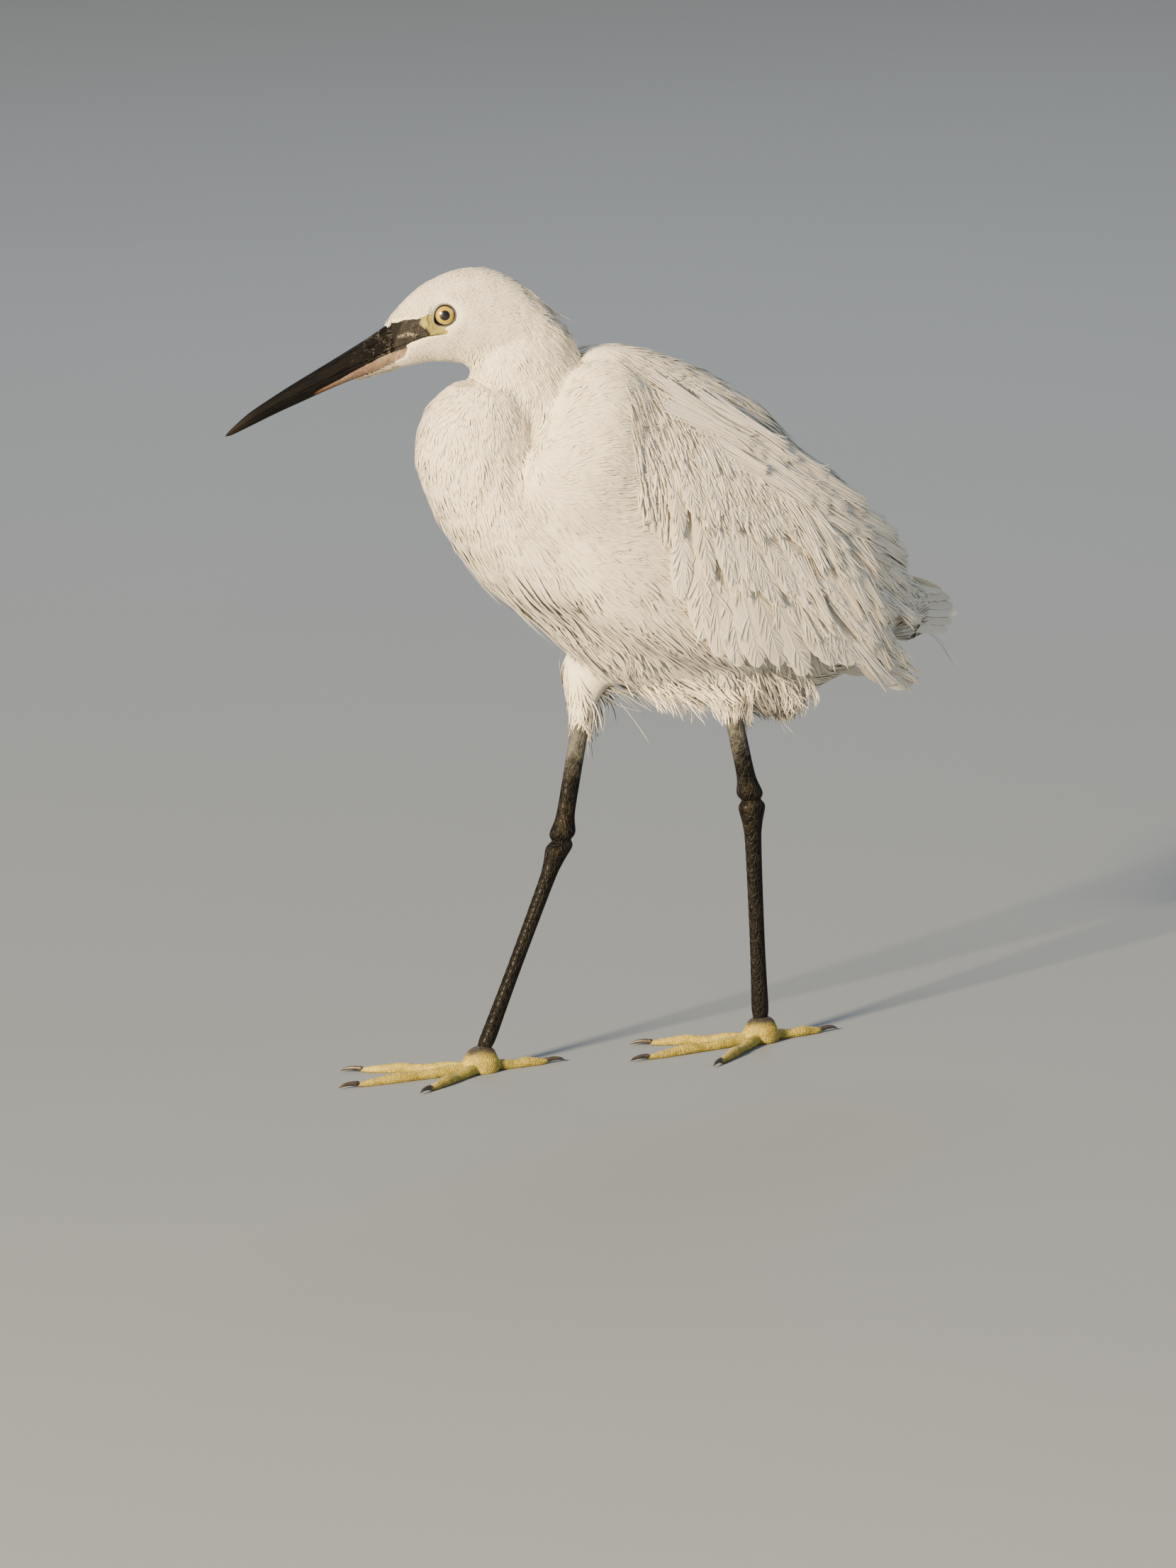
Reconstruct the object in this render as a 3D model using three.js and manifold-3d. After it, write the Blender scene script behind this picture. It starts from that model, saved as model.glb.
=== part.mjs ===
// A little egret at life size: a still model of the standing bird, with its neck drawn in and its head
// turned a little to its right. Millimetres, +X forward, +Y to the bird's left, +Z up. Everything is laid
// out from a point on the floor under the hips, and the last lines bring the origin under its middle.

import * as THREE from 'three';
import { mergeVertices } from 'three/addons/utils/BufferGeometryUtils.js';
import Module from 'manifold-3d';

const wasm = await Module();
wasm.setup();

// Driving dimensions
const gap = 0.3;
const headPivot = 60;
const headTurn = 12;
const eyeRadius = 6;
const eyePlace = { ahead: 36.7, out: 7.6, up: 338.7 };
const lidRadius = 5.15;
const lidThickness = 0.7;
const mantleHalfWidth = 15;
const mantleRearHalfWidth = 5;
const rootDepth = 2;
const legSpread = 9;
const ankle = { left: { x: -43.2, z: 107 }, right: { x: 43.6, z: 97 } };
const tarsusLength = 100;
const footHeight = 7;
const toeLength = { inner: 50, middle: 62, outer: 55, hind: 33 };
const toeSpread = { inner: -36, middle: 0, outer: 36, hind: 180 };
const toeRadius = 2.4;
const toeSoleCut = 0.35;
const clawLength = 9;
const vaneThickness = 0.7;

// Finishes
const finish = (color, roughness) => new THREE.MeshStandardMaterial({ color, roughness, metalness: 0 });
const plumage = finish(0xf3efe4, 0.85);
const horn = finish(0x1b1a19, 0.45);
const iris = finish(0xe3bd4a, 0.1);
const legSkin = finish(0x24211c, 0.6);
const toeSkin = finish(0xc9b23a, 0.6);

// Solids
function solidFrom(geometry) {
  const bare = geometry.clone();
  bare.deleteAttribute('normal');
  bare.deleteAttribute('uv');
  const merged = mergeVertices(bare, 1e-4);
  const vertProperties = Float32Array.from(merged.attributes.position.array);
  const triVerts = Uint32Array.from(merged.index.array);
  return new wasm.Manifold(new wasm.Mesh({ numProp: 3, vertProperties, triVerts }));
}

function largest(solid) {
  const bodies = solid.decompose();
  return bodies.reduce((best, body) => (body.volume() > best.volume() ? body : best));
}

function joined(solids) {
  return solids.reduce((whole, solid) => whole.add(solid));
}

function cutBy(solid, cutters) {
  return cutters.reduce((rest, cutter) => rest.subtract(cutter), solid);
}

function geometryFrom(solid) {
  const { vertProperties, triVerts } = largest(solid).getMesh();
  const geometry = new THREE.BufferGeometry();
  geometry.setAttribute('position', new THREE.BufferAttribute(Float32Array.from(vertProperties), 3));
  geometry.setIndex(new THREE.BufferAttribute(Uint32Array.from(triVerts), 1));
  return geometry;
}

function mirrored(geometry) {
  const mirror = geometry.clone().scale(1, -1, 1);
  const index = mirror.index.array;
  for (let i = 0; i < index.length; i += 3) [index[i], index[i + 1]] = [index[i + 1], index[i]];
  return mirror;
}

function named(name, geometry, material) {
  const drawn = geometry.toNonIndexed();
  drawn.computeVertexNormals();
  const mesh = new THREE.Mesh(drawn, material.clone());
  mesh.name = name;
  return mesh;
}

function seeded(seed) {
  let state = seed;
  return () => {
    state = (state * 16807) % 2147483647;
    return state / 2147483647;
  };
}

const vector = (point) => new THREE.Vector3(...point);
const curveThrough = (points) => new THREE.CatmullRomCurve3(points.map(vector), false, 'catmullrom', 0.5);

// A rounded body drawn through sections. Each section has its top point, its bottom point and its half
// width, and the body closes in a round end at its first and last section.
class Form {
  constructor(sections, { around = 20, rings = 24 } = {}) {
    this.tops = curveThrough(sections.map(([top]) => top));
    this.bottoms = curveThrough(sections.map(([, bottom]) => bottom));
    this.widths = curveThrough(sections.map(([, , halfWidth]) => [halfWidth, 0, 0]));
    this.endShare = 1 / (sections.length - 1);
    this.around = around;
    this.rings = rings;
  }

  centre(share) {
    return this.tops.getPoint(share).add(this.bottoms.getPoint(share)).multiplyScalar(0.5);
  }

  ahead(share) {
    const step = 0.02;
    const from = this.centre(Math.max(0, share - step));
    return this.centre(Math.min(1, share + step)).sub(from).normalize();
  }

  point(share, angle, lift = 0) {
    const fromEnd = Math.min(share, 1 - share) / this.endShare;
    const rounding = fromEnd < 1 ? Math.sqrt(1 - (1 - fromEnd) ** 2) : 1;
    const ahead = this.ahead(share);
    const up = this.tops.getPoint(share).sub(this.bottoms.getPoint(share)).multiplyScalar(0.5);
    const side = up.clone().cross(ahead).setLength(this.widths.getPoint(share).x + lift);
    up.setLength(up.length() + lift);
    const outwards = share < 0.5 ? -lift : lift;
    return this.centre(share)
      .addScaledVector(up, Math.cos(angle) * rounding)
      .addScaledVector(side, Math.sin(angle) * rounding)
      .addScaledVector(ahead, outwards * (1 - rounding));
  }

  normal(share, angle) {
    const step = 0.01;
    const low = Math.max(step, Math.min(1 - 2 * step, share));
    const along = this.point(low + step, angle).sub(this.point(low, angle));
    const round = this.point(low, angle + step).sub(this.point(low, angle - step));
    return along.cross(round).normalize();
  }

  geometry(lift = 0) {
    const geometry = new THREE.SphereGeometry(1, this.around, this.rings);
    const { position } = geometry.attributes;
    for (let i = 0; i < position.count; i++) {
      const share = Math.acos(THREE.MathUtils.clamp(position.getY(i), -1, 1)) / Math.PI;
      const angle = Math.atan2(position.getZ(i), -position.getX(i));
      const place = this.point(share, angle, lift);
      position.setXYZ(i, place.x, place.y, place.z);
    }
    return geometry;
  }

  solid(lift = 0, matrix = new THREE.Matrix4()) {
    return solidFrom(this.geometry(lift).applyMatrix4(matrix));
  }
}

// Sections on the bird's midline: top x and z, bottom x and z, half width
const onMidline = (rows) => rows.map(([tx, tz, bx, bz, half]) => [[tx, 0, tz], [bx, 0, bz], half]);

// Sections of an upright limb: centre x, y and z, then its radius fore and aft and its radius sideways
const upright = (rows) => rows.map(([x, y, z, deep, wide]) => [[x + deep, y, z], [x - deep, y, z], wide]);

// A thin closed blade: an upper and a lower sheet split alike, and a rim between them. place gives the
// point on an edge (-1 or 1) at a share along (0 at the root, 1 at the tip) of a face (1 or -1).
function blade(steps, place) {
  const { uv } = new THREE.PlaneGeometry(1, 1, 1, steps).attributes;
  const upper = [...new THREE.PlaneGeometry(1, 1, 1, steps).index.array];
  const points = [];
  for (const face of [1, -1]) {
    for (let i = 0; i < uv.count; i++) {
      points.push(...place(2 * uv.getX(i) - 1, 1 - uv.getY(i), face).toArray());
    }
  }
  const lower = upper.map((index) => index + uv.count).reverse();
  const rim = [0];
  for (let i = 0; i <= steps; i++) rim.push(2 * i + 1);
  for (let i = steps; i > 0; i--) rim.push(2 * i);
  const walls = rim.flatMap((from, i) => {
    const to = rim[(i + 1) % rim.length];
    return [from, to, to + uv.count, from, to + uv.count, from + uv.count];
  });
  const geometry = new THREE.BufferGeometry();
  geometry.setAttribute('position', new THREE.Float32BufferAttribute(points, 3));
  geometry.setIndex([...upper, ...lower, ...walls]);
  return solidFrom(geometry);
}

// The half width of a feather along its length, as a share of its widest: a broad vane has a round tip,
// and a plume narrows from its middle to a point
const vaneOutlines = {
  round: (s) => (s < 0.6 ? 0.5 + s / 1.2 : Math.max(0.2, Math.sqrt(1 - ((s - 0.6) / 0.4) ** 2))),
  pointed: (s) => (s < 0.4 ? 0.6 + s : Math.max(0.15, 1 - ((s - 0.4) / 0.6) ** 1.4)),
};

// A feather along a line of { place, normal } from its root (0) to its tip (1). A roll above 0 lifts the
// edge on its right, seen from outside with the tip down.
function vane(line, { halfWidth, roll = 0, steps = 4, outline = 'round' }) {
  const reach = 0.03;
  return blade(steps, (edge, along, face) => {
    const share = 1 - (1 - along) ** 1.5;
    const { place, normal } = line(share);
    const ahead = line(share + reach).place.sub(line(share - reach).place).normalize();
    const side = normal.clone().cross(ahead).normalize();
    side.applyAxisAngle(ahead, THREE.MathUtils.degToRad(roll));
    const half = 0.5 * vaneThickness * (1 - 0.35 * share);
    return place
      .addScaledVector(side, edge * halfWidth * vaneOutlines[outline](share))
      .addScaledVector(ahead.cross(side), face * half);
  });
}

// The line of a feather that lies on a form: from a root sunk in it to a tip that stands proud of it, both
// given as a share along the form and an angle round it in degrees
function lyingOn(form, [rootShare, rootAngle], [tipShare, tipAngle], rise) {
  return (share) => {
    const along = THREE.MathUtils.lerp(rootShare, tipShare, share);
    const angle = THREE.MathUtils.degToRad(THREE.MathUtils.lerp(rootAngle, tipAngle, share));
    const proud = THREE.MathUtils.lerp(-rootDepth, rise, Math.max(0, share) ** 0.8);
    const normal = form.normal(along, angle);
    return { place: form.point(along, angle).addScaledVector(normal, proud), normal };
  };
}

// Torso, necks and head

const torso = new Form(onMidline([
  [88, 246, 88, 232, 14],
  [80, 264, 80, 220, 25],
  [64, 292, 61, 201, 33],
  [45, 311, 42, 184, 38],
  [24, 317.5, 21, 168, 40],
  [-2, 312, -4, 157, 40],
  [-28, 297, -32, 154, 39],
  [-54, 277, -58, 150, 36],
  [-78, 257, -82, 153, 31],
  [-98, 238, -102, 162, 23],
  [-114, 220, -118, 174, 14],
  [-124, 206, -126, 186, 7],
]), { around: 20, rings: 18 });

// The feathers of the back, each row with its count, where its first and last feathers start and end on the
// torso (share along it, degrees round it, 0 on the back and 90 on the right), their half width and rise
const backRows = [
  { count: 2, from: [[0.3, -9], [0.3, 9]], to: [[0.43, -9], [0.43, 9]], halfWidth: 7, rise: 2.4 },
  { count: 3, from: [[0.36, -16], [0.36, 16]], to: [[0.52, -15], [0.52, 15]], halfWidth: 6.5, rise: 2.6 },
  { count: 2, from: [[0.45, -9], [0.45, 9]], to: [[0.63, -9], [0.63, 9]], halfWidth: 6.5, rise: 2.8 },
  { count: 3, from: [[0.54, -18], [0.54, 18]], to: [[0.74, -18], [0.74, 18]], halfWidth: 6, rise: 2.8 },
  { count: 2, from: [[0.64, -12], [0.64, 12]], to: [[0.86, -16], [0.86, 16]], halfWidth: 5.5, rise: 2.6 },
];

// The plumes below it, in rows like those: two rows on the breast, the flanks, and the tuft behind the legs
const plumeRows = [
  { count: 4, from: [[0.1, 196], [0.1, 140]], to: [[0.3, 206], [0.28, 160]], halfWidth: 5, rise: 2 },
  { count: 5, from: [[0.17, 222], [0.17, 136]], to: [[0.4, 206], [0.37, 160]], halfWidth: 5, rise: 2.2 },
  { count: 3, from: [[0.43, 234], [0.58, 234]], to: [[0.5, 208], [0.65, 204]], halfWidth: 7, rise: 2.6 },
  { count: 3, from: [[0.43, 126], [0.58, 126]], to: [[0.5, 152], [0.65, 156]], halfWidth: 7, rise: 2.6 },
  { count: 3, from: [[0.585, 204], [0.57, 172]], to: [[0.655, 208], [0.63, 166]], halfWidth: 6, rise: 12 },
];

function torsoFeathers(rows, outline, seed) {
  const random = seeded(seed);
  const vary = (amount) => amount * (2 * random() - 1);
  return joined(rows.flatMap(({ count, from, to, halfWidth, rise }) => (
    Array.from({ length: count }, (_, i) => {
      const between = ([first, last], jitter) => first.map((value, axis) => (
        THREE.MathUtils.lerp(value, last[axis], i / (count - 1)) + vary(jitter[axis])
      ));
      const line = lyingOn(torso, between(from, [0.01, 1.5]), between(to, [0.012, 2]), rise);
      return vane(line, { halfWidth, roll: vary(5), steps: 3, outline });
    })
  )));
}

const neckLower = new Form(onMidline([
  [82, 220, 50, 240, 24],
  [97, 239, 50, 256, 27],
  [108, 259, 51, 268, 27.5],
  [112, 278, 53, 281, 26],
  [107.5, 294, 57, 292, 23.5],
  [96.5, 305, 62, 300, 19],
  [87, 308.5, 64, 304, 14],
]), { around: 16, rings: 12 });

const neckUpper = new Form([
  [[84.5, -1, 325], [40, 4, 338], 15],
  [[85, 0, 315], [35, 3, 322], 17.5],
  [[85, 0, 303], [31, 2, 306], 20.5],
  [[83.5, 0, 290], [30, 1, 290], 22],
  [[79.5, 0, 274], [34, 0, 276], 22],
  [[70, 0, 262], [42, 0, 264], 18],
], { around: 16, rings: 10 });

// The head and bill lie in their own upright plane, turned about the pivot over the neck
const headFrame = new THREE.Matrix4()
  .makeRotationZ(THREE.MathUtils.degToRad(-headTurn))
  .setPosition(headPivot, 0, 0);

const head = new Form(onMidline([
  [64, 332.5, 66, 316, 4.6],
  [58, 339.5, 59, 315.4, 7.6],
  [50, 347, 51, 316, 10.2],
  [41, 352.8, 42, 317, 12.4],
  [30, 356.5, 31, 316, 14],
  [18, 357, 20, 313, 14.8],
  [6, 353, 8, 311, 14.8],
  [-6, 344, -4, 311, 13.6],
  [-15, 333, -14, 313, 11.6],
  [-20, 324, -20, 317, 8],
]), { around: 18, rings: 17 });

// The short loose locks on the nape: y at the root, and the x, y and z of the tip
const napeLocks = [
  [-7, [-21, -9, 326]],
  [-3.5, [-24, -5, 328.5]],
  [0, [-26, 0, 330]],
  [3.5, [-24.5, 5, 327]],
  [7, [-21, 9, 324]],
];

function napeFeathers() {
  return joined(napeLocks.map(([rootY, tip]) => {
    const tipY = tip[1];
    const course = curveThrough([[0, rootY, 344], [-11, (rootY + tipY) / 2, 343 - Math.abs(tipY) / 2], tip]);
    const line = (share) => {
      const kept = THREE.MathUtils.clamp(share, 0, 1);
      const ahead = course.getTangent(kept);
      const place = course.getPoint(kept).addScaledVector(ahead, (share - kept) * 30);
      return { place, normal: new THREE.Vector3(-0.55, tipY / 15, 0.8).normalize() };
    };
    return vane(line, { halfWidth: 2.6, steps: 3, outline: 'pointed' });
  }));
}

const bill = new Form(onMidline([
  [52, 341, 52, 316.5, 6],
  [62, 334.2, 62, 315, 6.2],
  [70, 329.7, 70, 313.8, 5.7],
  [77, 326.1, 77, 312.4, 5.2],
  [89, 320.2, 89, 308.7, 4.4],
  [101, 314.4, 101, 304.6, 3.6],
  [113, 308.3, 113, 300.4, 2.8],
  [125, 301.7, 125, 295.8, 2],
  [133, 295.8, 133, 292.8, 1.2],
  [136.8, 292.8, 136.6, 291.8, 0.6],
]), { around: 10, rings: 13 });

// The line of the mouth, from the corner below the eye to past the tip of the bill
const mouthLine = new THREE.SplineCurve([
  [36.7, 332.1], [42.4, 330.7], [54.5, 327.4], [66.1, 323.2],
  [78.4, 318.9], [100, 310.5], [113, 304.6], [125.3, 298.8], [140, 290.6],
].map(([x, y]) => new THREE.Vector2(x, y)));

function mouthSlot() {
  const line = mouthLine.getPoints(7);
  const upper = line.map(({ x, y }) => new THREE.Vector2(x, y + gap / 2));
  const lower = line.map(({ x, y }) => new THREE.Vector2(x, y - gap / 2)).reverse();
  const depth = 40;
  const outline = new THREE.Shape([...upper, ...lower]);
  const geometry = new THREE.ExtrudeGeometry(outline, { depth, bevelEnabled: false });
  return solidFrom(geometry.rotateX(Math.PI / 2).translate(0, depth / 2, 0));
}

const headWhole = head.solid();
const slot = mouthSlot();

function atEye(geometry, side) {
  return geometry.translate(eyePlace.ahead, side * eyePlace.out, eyePlace.up);
}

function headSolid() {
  let solid = headWhole;
  for (const side of [1, -1]) {
    const lid = new THREE.TorusGeometry(lidRadius, lidThickness, 5, 14).rotateX(Math.PI / 2);
    solid = solid.add(solidFrom(atEye(lid.translate(0, side * 3.9, 0), side)));
    const hollow = new THREE.SphereGeometry(eyeRadius + gap, 12, 9);
    solid = solid.subtract(solidFrom(atEye(hollow, side)));
  }
  const mouthGroove = slot.subtract(head.solid(-0.9));
  return solid.subtract(mouthGroove);
}

function billParts() {
  const clear = bill.solid().subtract(head.solid(gap)).subtract(slot);
  const parts = clear.decompose().sort((a, b) => b.volume() - a.volume()).slice(0, 2);
  const [lower, upper] = parts.sort((a, b) => a.boundingBox().max[2] - b.boundingBox().max[2]);
  const nostrils = [1, -1].map((side) => {
    const slit = new THREE.SphereGeometry(1, 6, 4).scale(4, 1.3, 0.75);
    return solidFrom(slit.rotateY(THREE.MathUtils.degToRad(25)).translate(66.5, side * 5.2, 328));
  });
  return { upper: cutBy(upper, nostrils), lower };
}

// Wings

const wing = new Form([
  [[62, 28, 284], [62, 34, 252], 8],
  [[50, 26, 298], [50, 38, 240], 12],
  [[36, 22, 305], [36, 39, 232], 15.5],
  [[18, 20, 305], [18, 39, 224], 17.5],
  [[-2, 19, 301], [-2, 39, 208], 17.5],
  [[-24, 18, 291], [-24, 37, 195], 17],
  [[-46, 17, 278], [-46, 34, 188], 16],
  [[-68, 16, 263], [-68, 31, 183], 14],
  [[-90, 14, 246], [-90, 26, 177], 11],
  [[-108, 12, 228], [-108, 20, 172], 7.5],
  [[-120, 10.5, 212], [-120, 16, 167], 5],
  [[-129, 10, 196], [-129, 13, 164], 3],
], { around: 12, rings: 14 });

// Where a line across the form's middle meets a given x
function shareAt(form, x) {
  let low = 0;
  let high = 1;
  for (let i = 0; i < 16; i++) {
    const middle = (low + high) / 2;
    if (form.centre(middle).x > x) low = middle;
    else high = middle;
  }
  return low;
}

// The outer skin of the folded left wing at x and z, which runs on smoothly past its edges
function onWing(x, z) {
  const share = shareAt(wing, x);
  const centre = wing.centre(share);
  const up = wing.tops.getPoint(share).sub(centre);
  const side = up.clone().cross(wing.ahead(share)).setLength(-wing.widths.getPoint(share).x);
  const height = (z - centre.z - side.z) / up.z;
  return centre.addScaledVector(up, height).addScaledVector(side, 1 - height ** 2 / 2);
}

// The way that a wing feather points at x: straight down in front, and leaning back behind
const leanBack = (x) => THREE.MathUtils.degToRad(60 * THREE.MathUtils.clamp((18 - x) / 130, 0, 1));
const alongBack = () => THREE.MathUtils.degToRad(56);

// The line of a wing feather, from its root sunk in the wing to the given tip standing proud of it
function wingFeather(tip, length, rise, lean) {
  const points = [tip];
  for (let i = 0; i < 4; i++) {
    const { x, y } = points[0];
    points.unshift(new THREE.Vector2(x + length / 4 * Math.sin(lean(x)), y + length / 4 * Math.cos(lean(x))));
  }
  const course = new THREE.SplineCurve(points);
  return (share) => {
    const kept = THREE.MathUtils.clamp(share, 0, 1);
    const { x, y: z } = course.getPoint(kept).addScaledVector(course.getTangent(kept), (share - kept) * length);
    const ahead = onWing(x + 1, z).sub(onWing(x - 1, z));
    const normal = onWing(x, z + 1).sub(onWing(x, z - 1)).cross(ahead).normalize();
    const proud = THREE.MathUtils.lerp(-rootDepth, rise, kept ** 0.8);
    return { place: onWing(x, z).addScaledVector(normal, proud), normal };
  };
}

// Rows of wing feathers from the lowest to the uppermost, each with the x and z of its tips from front to
// rear, its count, its feathers' length and half width, and how far their tips stand off the wing
const wingRows = [
  {
    tips: [[2, 197], [-14, 181], [-33, 176], [-56, 169.5], [-81, 170], [-99, 165], [-115, 155.5], [-127, 149]],
    count: 10, length: 54, halfWidth: 8, rise: 1.4, lean: leanBack,
  },
  {
    tips: [[17, 214], [-14, 214], [-30, 207], [-46, 201], [-67, 201], [-95, 192], [-115, 186], [-128, 177]],
    count: 9, length: 44, halfWidth: 8, rise: 2, lean: leanBack,
  },
  {
    tips: [[17, 243], [-4, 243.5], [-22, 242.5], [-40, 237], [-58, 231], [-80, 220], [-102, 207], [-121, 197]],
    count: 8, length: 36, halfWidth: 8, rise: 2.3, lean: leanBack,
  },
  {
    tips: [[18, 267], [0, 269], [-18, 265], [-38, 257], [-56, 247]],
    count: 4, length: 27, halfWidth: 8, rise: 2.3, lean: leanBack,
  },
  {
    tips: [[-52, 258], [-70, 243], [-88, 229], [-105, 214], [-122, 200]],
    count: 4, length: 62, halfWidth: 5.6, rise: 3.4, lean: alongBack, outline: 'pointed',
  },
];

function wingSolid(seed) {
  const random = seeded(seed);
  const vary = (amount) => amount * (2 * random() - 1);
  const feathers = wingRows.flatMap(({ tips, count, length, rise, lean, halfWidth, outline }) => {
    const line = new THREE.SplineCurve(tips.map(([x, z]) => new THREE.Vector2(x, z)));
    return Array.from({ length: count }, (_, i) => {
      const tip = line.getPointAt(((i + 0.5 + vary(0.12)) / count) ** 1.25);
      const course = wingFeather(tip, length * (1 + vary(0.05)), rise, lean);
      return vane(course, { halfWidth: halfWidth * (1 + vary(0.06)), roll: -7 + vary(1.5), outline });
    });
  });
  return joined([wing.solid(), ...feathers]);
}

// Tail

const tail = new Form(onMidline([
  [-92, 222, -92, 186, 11],
  [-104, 218, -104, 180, 12],
  [-116, 210, -115, 172, 12.5],
  [-127, 201, -126, 168, 11.5],
  [-136, 193, -135, 168, 9],
  [-142, 185, -141, 171, 5],
]), { around: 12, rings: 10 });

// The folded tail feathers, a roof of pairs from the two middle ones on top down to the outermost
function tailFeathers() {
  const pairs = 4;
  return joined([1, -1].flatMap((side) => Array.from({ length: pairs }, (_, i) => {
    const out = (i + 0.5) / pairs;
    const root = new THREE.Vector3(-104, side * 7 * out, 199 - 18 * out);
    const tip = new THREE.Vector3(-148 - 5.5 * Math.sin(Math.PI * out), side * 8 * out, 189 - 23 * out);
    const tilt = THREE.MathUtils.degToRad(25 + 50 * out);
    const normal = new THREE.Vector3(-0.2, side * Math.sin(tilt), Math.cos(tilt)).normalize();
    const line = (share) => ({
      place: root.clone().lerp(tip, share).add(new THREE.Vector3(0, 0, 5 * share * (1 - share))),
      normal,
    });
    return vane(line, { halfWidth: 6, roll: -6 * side, steps: 3 });
  })));
}

// The strip along the back between the wings, which narrows to the rear
function mantleBlock(inset) {
  const corners = [[130, mantleHalfWidth], [-40, mantleHalfWidth], [-140, mantleRearHalfWidth]];
  const nearSide = corners.map(([x, y]) => new THREE.Vector2(x, y - inset));
  const farSide = corners.map(([x, y]) => new THREE.Vector2(x, inset - y)).reverse();
  const geometry = new THREE.ExtrudeGeometry(new THREE.Shape([...nearSide, ...farSide]), {
    depth: 200, bevelEnabled: false,
  });
  return solidFrom(geometry.translate(0, 0, 200));
}

// Legs and feet

const sides = { left: 1, right: -1 };

function footPlace(side) {
  const drop = ankle[side].z - footHeight;
  return { x: ankle[side].x + Math.sqrt(tarsusLength ** 2 - drop ** 2), y: sides[side] * (legSpread + 1) };
}

function legForms(side) {
  const y = sides[side] * legSpread;
  const joint = ankle[side];
  const foot = footPlace(side);
  const hip = side === 'left' ? { x: -28, z: 176, bare: 149 } : { x: 22, z: 182, bare: 146 };
  const lean = (joint.x - (side === 'left' ? -35 : 32)) / (joint.z - hip.bare);
  const kneeX = (z) => joint.x + (z - joint.z) * lean;
  const along = (share) => [
    THREE.MathUtils.lerp(joint.x, foot.x, share),
    THREE.MathUtils.lerp(y, foot.y, share),
    THREE.MathUtils.lerp(joint.z, footHeight, share),
  ];
  const thigh = new Form(upright([
    [hip.x, y * 1.8, hip.z, 18, 15],
    [hip.x, y * 1.6, hip.z - 9, 15.5, 13],
    [(hip.x + kneeX(hip.bare)) / 2, y * 1.3, hip.bare + 15, 11.5, 10],
    [kneeX(hip.bare + 7), y * 1.1, hip.bare + 7, 8.5, 7],
    [kneeX(hip.bare), y, hip.bare, 6, 5],
    [kneeX(hip.bare - 3), y, hip.bare - 3, 5, 4.2],
  ]), { around: 10, rings: 8 });
  const shin = new Form(upright([
    [kneeX(hip.bare + 12), y, hip.bare + 12, 4, 3.2],
    [kneeX(hip.bare + 2), y, hip.bare + 2, 4.2, 3.4],
    [kneeX(joint.z + 26), y, joint.z + 26, 4.2, 3.4],
    [kneeX(joint.z + 12), y, joint.z + 12, 4.4, 3.6],
    [kneeX(joint.z + 5), y, joint.z + 5, 6, 4.7],
    [joint.x, y, joint.z, 6.8, 5.2],
  ]), { around: 8, rings: 9 });
  const tarsus = new Form(upright([
    [...along(-0.02), 6.4, 5],
    [...along(0.03), 6.2, 4.9],
    [...along(0.1), 4.6, 3.8],
    [...along(0.2), 3.8, 3.1],
    [...along(0.6), 3.5, 2.9],
    [...along(0.88), 3.9, 3.3],
    [...along(1), 4.4, 3.9],
  ]), { around: 8, rings: 10 });
  return { thigh, shin, tarsus };
}

const footPad = new Form(upright([
  [-0.5, 0, 12, 4.5, 4.2],
  [0, 0, 9, 6.4, 5.4],
  [0.5, 0, 5, 8.4, 7],
  [0.5, 0, 1, 8.6, 7.2],
  [0.5, 0, -2, 7, 6],
]), { around: 12, rings: 7 });

function toeForm(length) {
  const knuckles = [
    [-0.04, 0.9], [0.12, 0.95], [0.3, 1.05], [0.48, 0.85], [0.66, 0.98], [0.82, 0.78], [1, 0.62],
  ];
  return new Form(knuckles.map(([share, size]) => {
    const radius = toeRadius * size;
    const raised = 2.4 * Math.max(0, 1 - share / 0.22) ** 2;
    const centre = radius - toeSoleCut + raised;
    return [[share * length, 0, centre + radius], [share * length, 0, centre - radius], radius * 1.05];
  }), { around: 6, rings: 9 });
}

function clawForm(length) {
  const root = length - 1;
  return new Form([
    [[root, 0, 3], [root, 0, 0.7], 1.05],
    [[root + clawLength * 0.4, 0, 3.1], [root + clawLength * 0.4, 0, 1.1], 0.85],
    [[root + clawLength * 0.75, 0, 2.3], [root + clawLength * 0.75, 0, 1], 0.55],
    [[root + clawLength, 0, 0.9], [root + clawLength, 0, 0.5], 0.25],
  ], { around: 5, rings: 5 });
}

const floorBlock = solidFrom(new THREE.BoxGeometry(400, 400, 40).translate(0, 0, -20));

function footGroup(side) {
  const foot = new THREE.Group();
  const place = footPlace(side);
  foot.position.set(place.x, place.y, 0);
  foot.rotation.z = THREE.MathUtils.degToRad(sides[side] * 4);
  foot.updateMatrix();
  const pad = footPad.solid().subtract(floorBlock);
  foot.add(named(`foot_${side}`, geometryFrom(pad), toeSkin));
  const turned = (toe) => {
    const angle = THREE.MathUtils.degToRad(toeSpread[toe] * sides[side]);
    return new THREE.Matrix4().makeRotationZ(angle);
  };
  const middle = toeForm(toeLength.middle).solid(gap, turned('middle'));
  for (const [toe, length] of Object.entries(toeLength)) {
    const form = toeForm(length);
    const cutters = [floorBlock, footPad.solid(gap)];
    if (toe !== 'middle') cutters.push(middle);
    const toeSolid = cutBy(form.solid(0, turned(toe)), cutters);
    foot.add(named(`toe_${side}_${toe}`, geometryFrom(toeSolid), toeSkin));
    const claw = cutBy(clawForm(length).solid(0, turned(toe)), [form.solid(gap, turned(toe))]);
    foot.add(named(`claw_${side}_${toe}`, geometryFrom(claw), horn));
  }
  return foot;
}

// The whole bird, each piece cut clear of the one that it grows from

const bird = new THREE.Group();

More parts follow.
